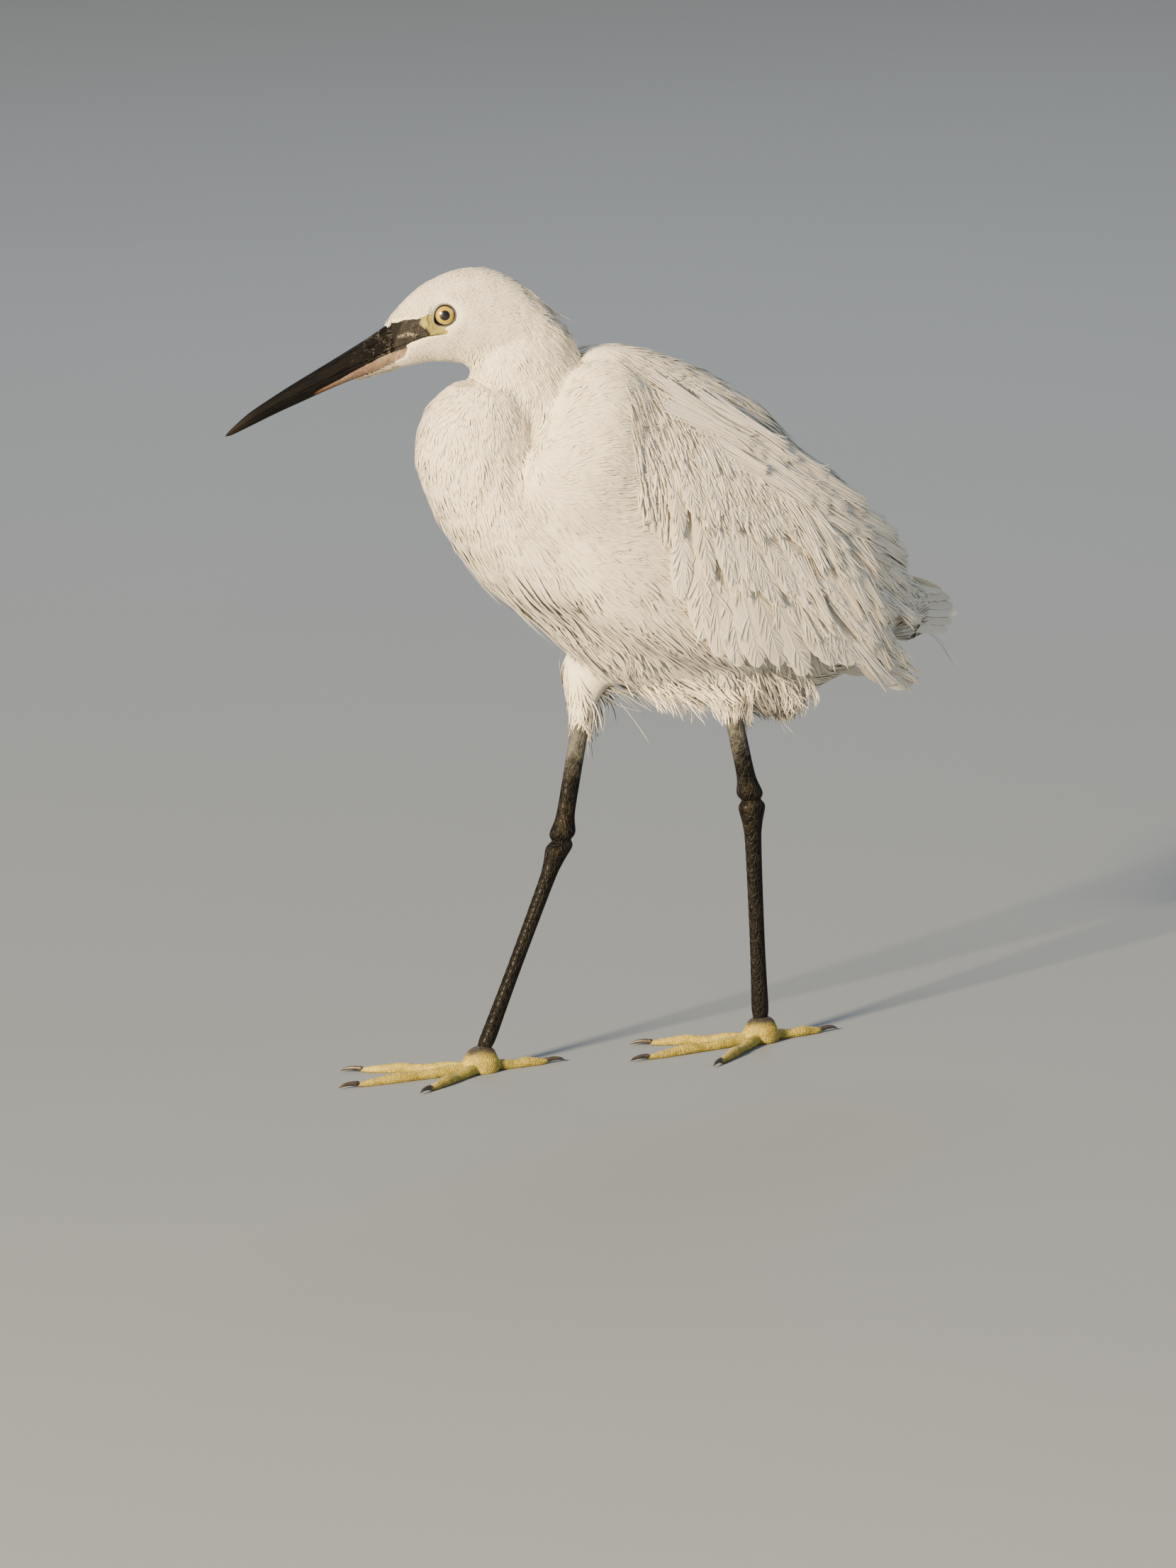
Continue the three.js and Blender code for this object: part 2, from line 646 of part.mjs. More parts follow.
const torsoSolid = torso.solid();
const torsoClear = torso.solid(gap);
const headClear = head.solid(gap, headFrame);
const neckLowerClear = neckLower.solid(gap);
const neckUpperClear = neckUpper.solid(gap);
const tailClear = tail.solid(gap);

const legs = { left: legForms('left'), right: legForms('right') };
const plumeCutters = [neckLowerClear, neckUpperClear, tailClear];
for (const { thigh, shin } of Object.values(legs)) plumeCutters.push(thigh.solid(gap), shin.solid(gap));
const wingRoom = wing.geometry(rootDepth + gap);
plumeCutters.push(solidFrom(wingRoom), solidFrom(mirrored(wingRoom)));
const loose = [torsoFeathers(backRows, 'round', 5), torsoFeathers(plumeRows, 'pointed', 6)];
const torsoPlumes = cutBy(joined(loose), plumeCutters);
bird.add(named('torso', geometryFrom(torsoSolid.add(torsoPlumes)), plumage));
bird.add(named('neck_lower', geometryFrom(cutBy(neckLower.solid(), [torsoClear, headClear])), plumage));
bird.add(named('neck_upper', geometryFrom(
  cutBy(neckUpper.solid(), [headClear, neckLowerClear, torsoClear]),
), plumage));
bird.add(named('tail', geometryFrom(tail.solid().add(tailFeathers()).subtract(torsoClear)), plumage));

const headGroup = new THREE.Group();
headGroup.position.set(headPivot, 0, 0);
headGroup.rotation.z = THREE.MathUtils.degToRad(-headTurn);
const mandibles = billParts();
const headBack = neckUpper.solid(gap, headFrame.clone().invert());
headGroup.add(named('head', geometryFrom(headSolid().add(napeFeathers().subtract(headBack))), plumage));
headGroup.add(named('bill_upper', geometryFrom(mandibles.upper), horn));
headGroup.add(named('bill_lower', geometryFrom(mandibles.lower), horn));
for (const [side, sign] of Object.entries(sides)) {
  const ball = atEye(new THREE.SphereGeometry(eyeRadius, 12, 9), sign);
  headGroup.add(named(`eye_${side}`, geometryFrom(solidFrom(ball)), iris));
}
bird.add(headGroup);

const mantleClear = mantleBlock(0);
const wingCutters = [torsoClear, neckLowerClear, neckUpperClear, tailClear, mantleClear];
const wingGeometries = [3, 8].map((seed) => geometryFrom(cutBy(wingSolid(seed), wingCutters)));
bird.add(named('wing_left', wingGeometries[0], plumage));
bird.add(named('wing_right', mirrored(wingGeometries[1]), plumage));

for (const side of Object.keys(sides)) {
  const { thigh, shin, tarsus } = legs[side];
  const foot = footGroup(side);
  const padClear = footPad.solid(gap, foot.matrix);
  bird.add(named(`thigh_${side}`, geometryFrom(cutBy(thigh.solid(), [torsoClear, shin.solid(gap)])), plumage));
  bird.add(named(`shin_${side}`, geometryFrom(cutBy(shin.solid(), [torsoClear])), legSkin));
  bird.add(named(`tarsus_${side}`, geometryFrom(cutBy(tarsus.solid(), [shin.solid(gap), padClear])), legSkin));
  bird.add(foot);
}

// The origin is under the middle of the bird, on the floor
const extent = new THREE.Box3().setFromObject(bird, true);
const middle = extent.getCenter(new THREE.Vector3());
bird.position.set(-middle.x, -middle.y, -extent.min.z);

export default bird;
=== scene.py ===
"""A little egret at life size: a still model of the standing bird with its neck drawn in."""

import math

import bmesh
import bpy
import numpy as np
from mathutils import Matrix, Vector
from mathutils.bvhtree import BVHTree


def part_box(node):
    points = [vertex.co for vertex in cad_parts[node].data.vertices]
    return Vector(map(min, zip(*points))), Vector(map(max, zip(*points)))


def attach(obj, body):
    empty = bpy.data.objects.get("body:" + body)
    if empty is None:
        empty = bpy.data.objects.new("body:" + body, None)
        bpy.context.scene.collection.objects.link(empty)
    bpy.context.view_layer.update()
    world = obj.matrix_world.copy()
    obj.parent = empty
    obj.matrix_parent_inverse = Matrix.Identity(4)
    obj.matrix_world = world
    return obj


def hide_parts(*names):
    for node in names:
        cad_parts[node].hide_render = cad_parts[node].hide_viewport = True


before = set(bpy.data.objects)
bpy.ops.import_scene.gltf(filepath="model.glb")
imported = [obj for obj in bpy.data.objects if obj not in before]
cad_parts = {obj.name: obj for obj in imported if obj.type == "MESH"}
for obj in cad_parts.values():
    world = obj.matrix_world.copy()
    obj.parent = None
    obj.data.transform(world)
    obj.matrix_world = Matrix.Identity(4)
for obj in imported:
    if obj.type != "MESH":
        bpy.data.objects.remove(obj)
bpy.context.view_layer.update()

# Sizes, in millimetres. +X is forward, +Y the bird's left, +Z up, from a point on the floor under the hips.
MM = 0.001
HEAD_PIVOT = np.array([60.0, 0.0, 0.0])
HEAD_TURN = math.radians(-12)
EYE_PLACE = np.array([36.7, 7.6, 338.7])
EYE_TURN = math.radians(16)
EYE_TILT = math.radians(4)
EYE_RADIUS = 6.0
IRIS_RADIUS = 4.0
PUPIL_RADIUS = 2.25
LID_RADIUS = 4.95
LID_HEIGHT = 3.5
LID_INNER_EDGE = 5.3
LID_OUTER_EDGE = 5.6
LID_REACH = 8.5
SKIN_DEPTH = 1.2
HEAD_SKIN_DEPTH = 0.5
THIGH_SKIN_DEPTH = 1.4
SKIN_VOXEL = 1.5
LIMB_VOXEL = 0.5
MOUTH_GAP = 0.3
FAR_SHOULDER_SHIFT = np.array([8.0, 0.0, -3.5])
LEG_SPREAD = 9.0
ANKLE = {"left": (-43.2, 107.0), "right": (43.6, 97.0)}
TARSUS_LENGTH = 100.0
FOOT_HEIGHT = 7.0
TOE_LENGTH = {"inner": 50.0, "middle": 62.0, "outer": 55.0, "hind": 33.0}
TOE_SPREAD = {"inner": -36.0, "middle": 0.0, "outer": 36.0, "hind": 180.0}
TOE_RADIUS = 2.4
TOE_SOLE_CUT = 0.35
CLAW_LENGTH = 9.0
BILL_ROOT = 52.0
BILL_TIP = 137.0
VANE_CAMBER = 0.3
VANE_THICKNESS = 0.22
VANE_POINTS = 20
SIDES = {"left": 1, "right": -1}

# How many layers of small tufts lie over one another, how far the back's feathers stand up on each side, the
# span of a tuft's patch on the unwrap of the skin, and the most triangles of a piece of the coat
LAYERS = 4.1
BACK_LIFT = {"left": 1, "right": 0.5}
PATCH = 0.003
PIECE_LIMIT = 180000

# The camera, in metres, degrees and millimetres
CAMERA_DISTANCE = 20.0
CAMERA_ANGLES = (150, 10, 2.1)
CAMERA_AIM = (34, 0, 123)
SENSOR_SPAN = 36
VIEW_SPAN = 686


# Curves and forms

def through(points, share):
    """Points of a smooth curve through the given ones, at shares from 0 to 1 of the way."""
    points = np.asarray(points, float)
    share = np.atleast_1d(np.asarray(share, float))
    ends = np.vstack([2 * points[0] - points[1], points, 2 * points[-1] - points[-2]])
    place = np.clip(share, 0, 1) * (len(points) - 1)
    first = np.minimum(place.astype(int), len(points) - 2)
    t = (place - first)[:, None]
    p0, p1, p2, p3 = (ends[first + k] for k in range(4))
    return 0.5 * (2 * p1 + (p2 - p0) * t + (2 * p0 - 5 * p1 + 4 * p2 - p3) * t**2
                  + (3 * p1 - p0 - 3 * p2 + p3) * t**3)


def unit(vectors):
    return vectors / np.maximum(np.linalg.norm(vectors, axis=-1, keepdims=True), 1e-9)


def smooth_step(low, high, value):
    t = np.clip((value - low) / (high - low), 0, 1)
    return t * t * (3 - 2 * t)


class Form:
    """A rounded body drawn through sections: each has a top point, a bottom point and a half width."""

    def __init__(self, sections):
        self.tops = np.array([s[0] for s in sections], float)
        self.bottoms = np.array([s[1] for s in sections], float)
        self.widths = np.array([[s[2]] for s in sections], float)
        self.end_share = 1 / (len(sections) - 1)

    def centre(self, share):
        return (through(self.tops, share) + through(self.bottoms, share)) / 2

    def ahead(self, share):
        share = np.atleast_1d(share)
        return unit(self.centre(np.minimum(1, share + 0.02)) - self.centre(np.maximum(0, share - 0.02)))

    def axes(self, share):
        """Centre, half height and half width vectors of the section at each share."""
        up = (through(self.tops, share) - through(self.bottoms, share)) / 2
        side = unit(np.cross(up, self.ahead(share))) * through(self.widths, share)
        return self.centre(share), up, side

    def point(self, share, angle, lift=0.0):
        """Points on the form at shares along it and angles round it, 0 at the top."""
        centre, up, side = self.axes(share)
        from_end = np.minimum(share, 1 - share) / self.end_share
        rounding = np.sqrt(np.clip(1 - (1 - np.minimum(from_end, 1)) ** 2, 0, 1))[:, None]
        up = up + unit(up) * lift
        side = side + unit(side) * lift
        outwards = np.where(share < 0.5, -lift, lift)[:, None] * (1 - rounding)
        return (centre + up * np.cos(angle)[:, None] * rounding
                + side * np.sin(angle)[:, None] * rounding + self.ahead(share) * outwards)


def on_midline(rows):
    """Sections on the bird's midline, from top x and z, bottom x and z, and half width."""
    return [((tx, 0, tz), (bx, 0, bz), half) for tx, tz, bx, bz, half in rows]


def upright(rows):
    """Sections of a limb, from centre x, y and z, radius fore and aft, and radius sideways."""
    return [((x + deep, y, z), (x - deep, y, z), wide) for x, y, z, deep, wide in rows]


TORSO = Form(on_midline([
    (88, 246, 88, 232, 14), (80, 264, 80, 220, 25), (64, 292, 61, 201, 33), (45, 311, 42, 184, 38),
    (24, 317.5, 21, 168, 40), (-2, 312, -4, 157, 40), (-28, 297, -32, 154, 39), (-54, 277, -58, 150, 36),
    (-78, 257, -82, 153, 31), (-98, 238, -102, 162, 23), (-114, 220, -118, 174, 14),
    (-124, 206, -126, 186, 7),
]))
NECK_LOWER = Form(on_midline([
    (82, 220, 50, 240, 24), (97, 239, 50, 256, 27), (108, 259, 51, 268, 27.5), (112, 278, 53, 281, 26),
    (107.5, 294, 57, 292, 23.5), (96.5, 305, 62, 300, 19), (87, 308.5, 64, 304, 14),
]))
BREAST = Form(on_midline([
    (109, 270, 60, 274, 25), (105, 255, 55, 262, 28.5), (97, 239, 50, 250, 31.5), (85, 223, 46, 238, 34),
    (70, 208, 42, 226, 35.5), (54, 195, 38, 214, 36),
]))
FLANK = Form([
    ((64, 26, 272), (64, 29, 216), 9), ((46, 25, 283), (46, 30, 200), 15),
    ((25, 25, 284), (25, 31, 188), 17.5), ((0, 25, 270), (0, 31, 177), 17),
    ((-30, 24, 245), (-30, 29, 168), 14), ((-56, 22, 222), (-56, 26, 162), 10),
])
SHOULDER = Form([
    ((28, 14, 318), (0, 14, 302), 9), ((43, 20, 312), (10, 24, 288), 15),
    ((52, 24, 303), (14, 28, 268), 19.5), ((61, 26, 292), (18, 30, 252), 20.5),
    ((70, 27, 280), (24, 30, 238), 19.5), ((77, 27, 270), (30, 28, 226), 16.5),
    ((79, 24, 257), (36, 26, 216), 12),
])
MANTLE = Form([
    ((45, 14, 303), (45, 16, 284), 9), ((33, 15, 318.5), (33, 18, 284), 14),
    ((18, 15, 319.5), (18, 18, 276), 15), ((0, 15, 313.5), (0, 18, 268), 15),
    ((-22, 14, 303.5), (-22, 17, 260), 14), ((-46, 13, 289), (-46, 16, 248), 12),
    ((-70, 11, 271), (-70, 14, 240), 8),
])
NECK_UPPER = Form([
    ((84.5, -1, 325), (40, 4, 338), 15), ((85, 0, 315), (35, 3, 322), 17.5),
    ((85, 0, 303), (31, 2, 306), 20.5), ((83.5, 0, 290), (30, 1, 290), 22),
    ((79.5, 0, 274), (34, 0, 276), 22), ((70, 0, 262), (42, 0, 264), 18),
])
HEAD = Form(on_midline([
    (64, 332.5, 66, 316, 4.6), (58, 339.5, 59, 315.4, 7.6), (50, 347, 51, 316, 10.2),
    (41, 352.8, 42, 317, 12.4), (30, 356.5, 31, 316, 14), (18, 357, 20, 313, 14.8), (6, 353, 8, 311, 14.8),
    (-6, 344, -4, 311, 13.6), (-15, 333, -14, 313, 11.6), (-20, 324, -20, 317, 8),
]))
BILL = Form(on_midline([
    (52, 341, 52, 316.5, 6), (62, 334.2, 62, 315, 6.2), (70, 329.7, 70, 313.8, 5.7),
    (77, 326.1, 77, 312.4, 5.2), (89, 320.2, 89, 308.7, 4.4), (101, 314.4, 101, 304.6, 3.6),
    (113, 308.3, 113, 300.4, 2.8), (125, 301.7, 125, 295.8, 2), (133, 295.8, 133, 292.8, 1.2),
    (136.8, 292.8, 136.6, 291.8, 0.6),
]))
WING = Form([
    ((62, 28, 284), (62, 34, 252), 8), ((50, 26, 298), (50, 38, 240), 12),
    ((36, 22, 305), (36, 39, 232), 15.5), ((18, 20, 305), (18, 39, 224), 17.5),
    ((-2, 19, 301), (-2, 39, 208), 17.5), ((-24, 18, 291), (-24, 37, 195), 17),
    ((-46, 17, 278), (-46, 34, 188), 16), ((-68, 16, 263), (-68, 31, 183), 14),
    ((-90, 14, 246), (-90, 26, 177), 11), ((-108, 12, 228), (-108, 20, 172), 7.5),
    ((-120, 10.5, 212), (-120, 16, 167), 5), ((-129, 10, 196), (-129, 13, 164), 3),
])
TAIL = Form(on_midline([
    (-92, 222, -92, 186, 11), (-104, 218, -104, 180, 12), (-116, 210, -115, 172, 12.5),
    (-127, 201, -126, 168, 11.5), (-136, 193, -135, 168, 9), (-142, 185, -141, 171, 5),
]))
MOUTH_LINE = np.array([
    (36.7, 330.6), (44, 330.1), (54.5, 327), (66.1, 323.2), (78.4, 318.9), (100, 310.5), (113, 304.6),
    (125.3, 298.8), (140, 290.6),
])
# The bare skin before and round the eye, and its parts: x and z in the head's own plane
BARE_EDGE = np.array([
    (70, 333), (63.1, 335.4), (61.2, 336), (59.6, 336.2), (57.3, 336.7), (55, 337.6), (52.3, 338),
    (49.5, 338.4), (47.6, 339.1), (45.3, 340), (43.6, 341.6), (41.3, 343.4), (38.4, 344.3), (35.5, 343.7),
    (33.4, 342), (32.6, 339.5), (33.2, 336.7), (35.3, 335), (37.4, 334.1), (38.2, 333.2), (36.5, 332.2),
    (37.5, 330.8), (40.9, 330.5), (45.7, 330.2), (48.9, 329.3), (52.7, 327.6), (54.7, 326.4), (54.1, 324.8),
    (55.3, 321.3), (59.5, 318.8), (64.4, 317.3), (71.3, 315.4),
])
# The edge round the eye lies a little lower than these places
BARE_EDGE[:, 1] -= 0.4 * (BARE_EDGE[:, 0] < 51)
YELLOW_EDGE = np.array([
    (48.4, 339.6), (48.3, 337.6), (48.7, 335.3), (46.4, 333.7), (44.8, 332.4), (44.4, 329.6), (34, 329.6),
    (30, 338), (34, 346), (42, 346),
])
HORN_LINE = np.array([(66, 329.4), (61.2, 330.4), (57, 330.9), (54, 331.5), (50.3, 331)])
FOLD_LINE = np.array([(44.4, 335.2), (45, 338.4), (43.7, 341.4), (41, 343.6), (38, 344.3), (35, 343.4)])


def leg_forms(side):
    """Thigh, shin and tarsus, from the places of the hip, the ankle and the foot."""
    y = SIDES[side] * LEG_SPREAD
    joint_x, joint_z = ANKLE[side]
    foot_x, foot_y = foot_place(side)
    hip_x, hip_z, bare_z, start_x = (-28, 176, 149, -35) if side == "left" else (22, 182, 146, 32)
    lean = (joint_x - start_x) / (joint_z - bare_z)

    def knee_x(z):
        return joint_x + (z - joint_z) * lean

    def along(share):
        return (joint_x + (foot_x - joint_x) * share, y + (foot_y - y) * share,
                joint_z + (FOOT_HEIGHT - joint_z) * share)

    thigh = Form(upright([
        (hip_x, y * 1.8, hip_z, 18, 15), (hip_x, y * 1.6, hip_z - 9, 15.5, 13),
        ((hip_x + knee_x(bare_z)) / 2, y * 1.3, bare_z + 15, 11.5, 10),
        (knee_x(bare_z + 7), y * 1.1, bare_z + 7, 8.5, 7), (knee_x(bare_z), y, bare_z, 6, 5),
        (knee_x(bare_z - 3), y, bare_z - 3, 5, 4.2),
    ]))
    shin = Form(upright([
        (knee_x(bare_z + 12), y, bare_z + 12, 4, 3.2), (knee_x(bare_z + 2), y, bare_z + 2, 4.2, 3.4),
        (knee_x(joint_z + 26), y, joint_z + 26, 4.2, 3.4), (knee_x(joint_z + 12), y, joint_z + 12, 4.4, 3.6),
        (knee_x(joint_z + 5), y, joint_z + 5, 6, 4.7), (joint_x, y, joint_z, 6.8, 5.2),
    ]))
    tarsus = Form(upright([
        (*along(-0.02), 6.4, 5), (*along(0.03), 6.2, 4.9), (*along(0.1), 4.6, 3.8), (*along(0.2), 3.8, 3.1),
        (*along(0.6), 3.5, 2.9), (*along(0.88), 3.9, 3.3), (*along(1), 4.4, 3.9),
    ]))
    return thigh, shin, tarsus


def foot_place(side):
    """The x and y of the foot, a tarsus away from the ankle."""
    joint_x, joint_z = ANKLE[side]
    forward = math.sqrt(TARSUS_LENGTH**2 - (joint_z - FOOT_HEIGHT) ** 2)
    return joint_x + forward, SIDES[side] * (LEG_SPREAD + 1)


def from_head(points):
    """Points of the head's own upright plane, brought to where the turned head has them."""
    turn = np.array(Matrix.Rotation(HEAD_TURN, 3, "Z"))
    return np.asarray(points, float) @ turn.T + HEAD_PIVOT


def to_head(points):
    """Points of the turned head, brought back to its own upright plane."""
    turn = np.array(Matrix.Rotation(HEAD_TURN, 3, "Z"))
    return (np.asarray(points, float) - HEAD_PIVOT) @ turn


# The row frame's place of the point that the sizes are measured from
low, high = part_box("eye_left")
ORIGIN = np.array((low + high) / 2) / MM - from_head([EYE_PLACE])[0]


def row(points):
    """Millimetres from the sizes' own origin, as metres of the row frame."""
    return (np.asarray(points, float) + ORIGIN) * MM


def height_at(line, x):
    """The height of a flat line at x."""
    return np.interp(x, line[:, 0], line[:, 1])


def from_stretch(points, start, end):
    """How far flat points lie from a straight stretch."""
    start, end = np.array(start, float), np.array(end, float)
    t = np.clip(((points - start) @ (end - start)) / ((end - start) @ (end - start)), 0, 1)
    return np.linalg.norm(points - start - t[:, None] * (end - start), axis=1)


def from_line(points, line):
    """How far flat points lie from a line through several others."""
    return np.min([from_stretch(points, a, b) for a, b in zip(line, line[1:])], axis=0)


def depth_inside(points, outline):
    """How deep flat points lie inside a closed outline, less than 0 for those that lie outside."""
    starts = outline
    ends = np.roll(outline, -1, axis=0)
    x, y = points[:, :1], points[:, 1:]
    between = (starts[:, 1] > y) != (ends[:, 1] > y)
    width = ends[:, 0] - starts[:, 0]
    height = ends[:, 1] - starts[:, 1] + 1e-12
    crossing = width * (y - starts[:, 1]) / height + starts[:, 0]
    within = (between & (x < crossing)).sum(axis=1) % 2 == 1
    edge = ends - starts
    t = ((points[:, None] - starts) * edge).sum(-1) / (edge**2).sum(-1)
    nearest = starts + np.clip(t, 0, 1)[..., None] * edge
    away = np.linalg.norm(points[:, None] - nearest, axis=-1).min(axis=1)
    return np.where(within, away, -away)


def from_eye(flat):
    """How far flat points of the head lie from the middle of the lid."""
    return np.hypot(flat[:, 0] - EYE_PLACE[0] - 1, flat[:, 1] - EYE_PLACE[2] - 0.3)


def gauss(away, width):
    """1 on a line, falling off smoothly with the distance from it."""
    return np.exp(-((away / width) ** 2))


# Shader sums

class Value:
    """An output of a material's nodes that takes part in plain arithmetic."""

    def __init__(self, paint, socket):
        self.paint = paint
        self.socket = socket

    def with_other(self, operation, first, second):
        return self.paint.node("ShaderNodeMath", {"operation": operation}, {0: first, 1: second})

    def __add__(self, other):
        return self.with_other("ADD", self, other)

    __radd__ = __add__

    def __sub__(self, other):
        return self.with_other("SUBTRACT", self, other)

    def __rsub__(self, other):
        return self.with_other("SUBTRACT", other, self)

    def __mul__(self, other):
        return self.with_other("MULTIPLY", self, other)

    __rmul__ = __mul__

    def __abs__(self):
        return self.with_other("ABSOLUTE", self, 0)

    def ramp(self, low, high):
        """0 below low, 1 above high, and a smooth change between them."""
        return self.paint.node("ShaderNodeMapRange", {"interpolation_type": "SMOOTHSTEP"},
                               {"Value": self, "From Min": low, "From Max": high})


class Paint:
    """A material that is built up from nodes."""

    def __init__(self, name, **constants):
        self.material = bpy.data.materials.new(name)
        self.material.use_nodes = True
        self.tree = self.material.node_tree
        self.shader = self.tree.nodes["Principled BSDF"]
        for socket, value in constants.items():
            self.shader.inputs[socket.replace("_", " ").title().replace("Ior", "IOR")].default_value = value

    def node(self, kind, settings, inputs, output=0):
        made = self.tree.nodes.new(kind)
        for key, value in settings.items():
            setattr(made, key, value)
        for key, value in inputs.items():
            if isinstance(value, Value):
                self.tree.links.new(value.socket, made.inputs[key])
            else:
                made.inputs[key].default_value = value
        return Value(self, made.outputs[output])

    def place(self):
        return self.node("ShaderNodeTexCoord", {}, {}, "Object")

    def attribute(self, name):
        return self.node("ShaderNodeAttribute", {"attribute_name": name}, {}, "Fac")

    def lie(self):
        """Places across and along a tuft or vane."""
        across, along, _ = self.axes(self.node("ShaderNodeUVMap", {"uv_map": "Lie"}, {}))
        return across, along

    def axes(self, vector):
        split = self.tree.nodes.new("ShaderNodeSeparateXYZ")
        self.tree.links.new(vector.socket, split.inputs[0])
        return [Value(self, split.outputs[i]) for i in range(3)]

    def vector(self, x, y, z=0.0):
        return self.node("ShaderNodeCombineXYZ", {}, {0: x, 1: y, 2: z})

    def noise(self, vector, scale, detail=3.0, roughness=0.5):
        return self.node("ShaderNodeTexNoise", {}, {"Vector": vector, "Scale": scale, "Detail": detail,
                                                     "Roughness": roughness})

    def scales(self, vector, scale, randomness):
        """How far each place is from the edge of its scale."""
        return self.node("ShaderNodeTexVoronoi", {"feature": "DISTANCE_TO_EDGE"},
                         {"Vector": vector, "Scale": scale, "Randomness": randomness})

    def mixed(self, factor, first, second):
        """A colour between two, each a colour or the output of nodes."""
        mix = self.tree.nodes.new("ShaderNodeMix")
        mix.data_type = "RGBA"
        for socket, value in ((mix.inputs[0], factor), (mix.inputs[6], first), (mix.inputs[7], second)):
            if isinstance(value, Value):
                self.tree.links.new(value.socket, socket)
            else:
                socket.default_value = value if np.isscalar(value) else (*value, 1)
        return Value(self, mix.outputs[2])

    def bump(self, height, strength, distance):
        sizes = {"Height": height, "Strength": strength, "Distance": distance}
        self.feed("Normal", self.node("ShaderNodeBump", {}, sizes))

    def feed(self, socket, value):
        self.tree.links.new(value.socket, self.shader.inputs[socket])


WHITE = (0.87, 0.82, 0.685)
CREAM = (0.78, 0.695, 0.51)
COOL = (0.66, 0.655, 0.63)


def tuft_paint():
    """White plumage: each tuft or lock a little warmer or cooler, with its fibres running along it and
    painted shade toward its root.
    """
    paint = Paint("tufts", roughness=0.82, sheen_weight=0.15, sheen_roughness=0.5, specular_ior_level=0.25)
    shade = paint.attribute("shade")
    across, along = paint.lie()
    fibres = paint.noise(paint.vector(across * 3.0 + shade * 37, along * 1.5, shade * 11), 1.0, 2.0)
    tone = paint.mixed(shade, CREAM, WHITE)
    # Painted shade: each tuft turns cooler and darker toward its root, where the tufts over it shade it
    depth = along.ramp(0.0, 0.45) * 0.75 + 0.25
    tone = paint.mixed(depth * 0.55 + fibres * 0.5, COOL, tone)
    paint.feed("Base Color", tone)
    paint.bump(fibres, 0.5, 0.0003)
    return paint.material


def vane_paint():
    """A broad feather: barbs that slant from the shaft to the edge, a pale shaft and a pale thin rim."""
    paint = Paint("vane", roughness=0.62, sheen_weight=0.1, specular_ior_level=0.3)
    shade = paint.attribute("shade")
    across, along = paint.lie()
    outwards = abs(across - 0.5) * 2
    slant = along * 46 - outwards * 9
    barbs = paint.noise(paint.vector(slant, outwards * 1.6 + shade * 23, shade * 9), 1.6, 3.0, 0.6)
    rim = outwards.ramp(0.8, 0.98)
    shaft = 1 - outwards.ramp(0.03, 0.1)
    tone = paint.mixed(shade, CREAM, WHITE)
    tone = paint.mixed(barbs.ramp(0.25, 0.75) * 0.35 + 0.6, COOL, tone)
    tone = paint.mixed(rim * 0.5 + shaft * 0.7, tone, WHITE)
    paint.feed("Base Color", tone)
    paint.bump(barbs + shaft * 0.8, 0.45, 0.00035)
    return paint.material


def skin_paint():
    """White under the plumage, and bare on the lores: grey in front and yellow by the eye."""
    paint = Paint("skin", specular_ior_level=0.18)
    bare, yellow, pink, gape_shade, horn, fore = (
        paint.attribute(name) for name in ("bare", "yellow", "pink", "gape_shade", "horn", "fore"))
    place = paint.place()
    fine = paint.noise(place, 2600.0, 4.0, 0.6)
    grain = paint.noise(place, 1500.0, 3.0, 0.7)
    blotch = paint.noise(place, 620.0, 4.0, 0.65)
    broad = paint.noise(place, 190.0, 2.0, 0.5)
    grey = paint.mixed(blotch.ramp(0.36, 0.72), (0.010, 0.0095, 0.009), (0.045, 0.042, 0.036))
    grey = paint.mixed(grain.ramp(0.56, 0.68) * 0.6, grey, (0.13, 0.12, 0.1))
    grey = paint.mixed(broad.ramp(0.42, 0.6) * 0.5, grey, (0.016, 0.015, 0.013))
    flesh = paint.mixed(blotch.ramp(0.3, 0.75), (0.23, 0.20, 0.055), (0.40, 0.36, 0.11))
    flesh = paint.mixed(broad.ramp(0.45, 0.65) * 0.5, flesh, (0.24, 0.26, 0.11))
    flesh = paint.mixed(grain.ramp(0.6, 0.72) * 0.5, flesh, (0.14, 0.13, 0.06))
    lore = paint.mixed((yellow + (blotch - 0.5) * 0.9).ramp(0.25, 0.75), grey, flesh)
    lore = paint.mixed(horn * blotch.ramp(0.42, 0.6) * (1 - yellow), lore, (0.26, 0.235, 0.19))
    black = paint.mixed(grain.ramp(0.6, 0.72), (0.004, 0.004, 0.004), (0.08, 0.074, 0.064))
    lore = paint.mixed((fore + (blotch - 0.5) * 0.8).ramp(0.3, 0.7), lore, black)
    rose = paint.mixed(blotch.ramp(0.3, 0.7), (0.17, 0.125, 0.09), (0.36, 0.28, 0.2))
    lore = paint.mixed(pink, lore, rose)
    # Painted shade: a near black line along the furrow where the mouth parts
    lore = paint.mixed(gape_shade, lore, (0.012, 0.011, 0.01))
    edge = (bare + (blotch - 0.5) * 0.9).ramp(0.3, 0.7)
    paint.feed("Base Color", paint.mixed(edge, WHITE, lore))
    paint.feed("Roughness", 0.85 - edge * 0.3)
    paint.bump(fine * 0.6 + grain * 0.7 + blotch, 0.7, 0.0006)
    return paint.material


def lid_paint():
    """The grey rim of the eye, black where it meets the ball."""
    paint = Paint("lid", roughness=0.5, specular_ior_level=0.35)
    place = paint.place()
    fine = paint.noise(place, 3200.0, 3.0)
    dark = paint.attribute("dark")
    tone = paint.mixed(fine.ramp(0.3, 0.7), (0.16, 0.155, 0.115), (0.34, 0.33, 0.24))
    paint.feed("Base Color", paint.mixed(dark, tone, (0.006, 0.006, 0.006)))
    paint.bump(fine, 0.5, 0.0002)
    return paint.material


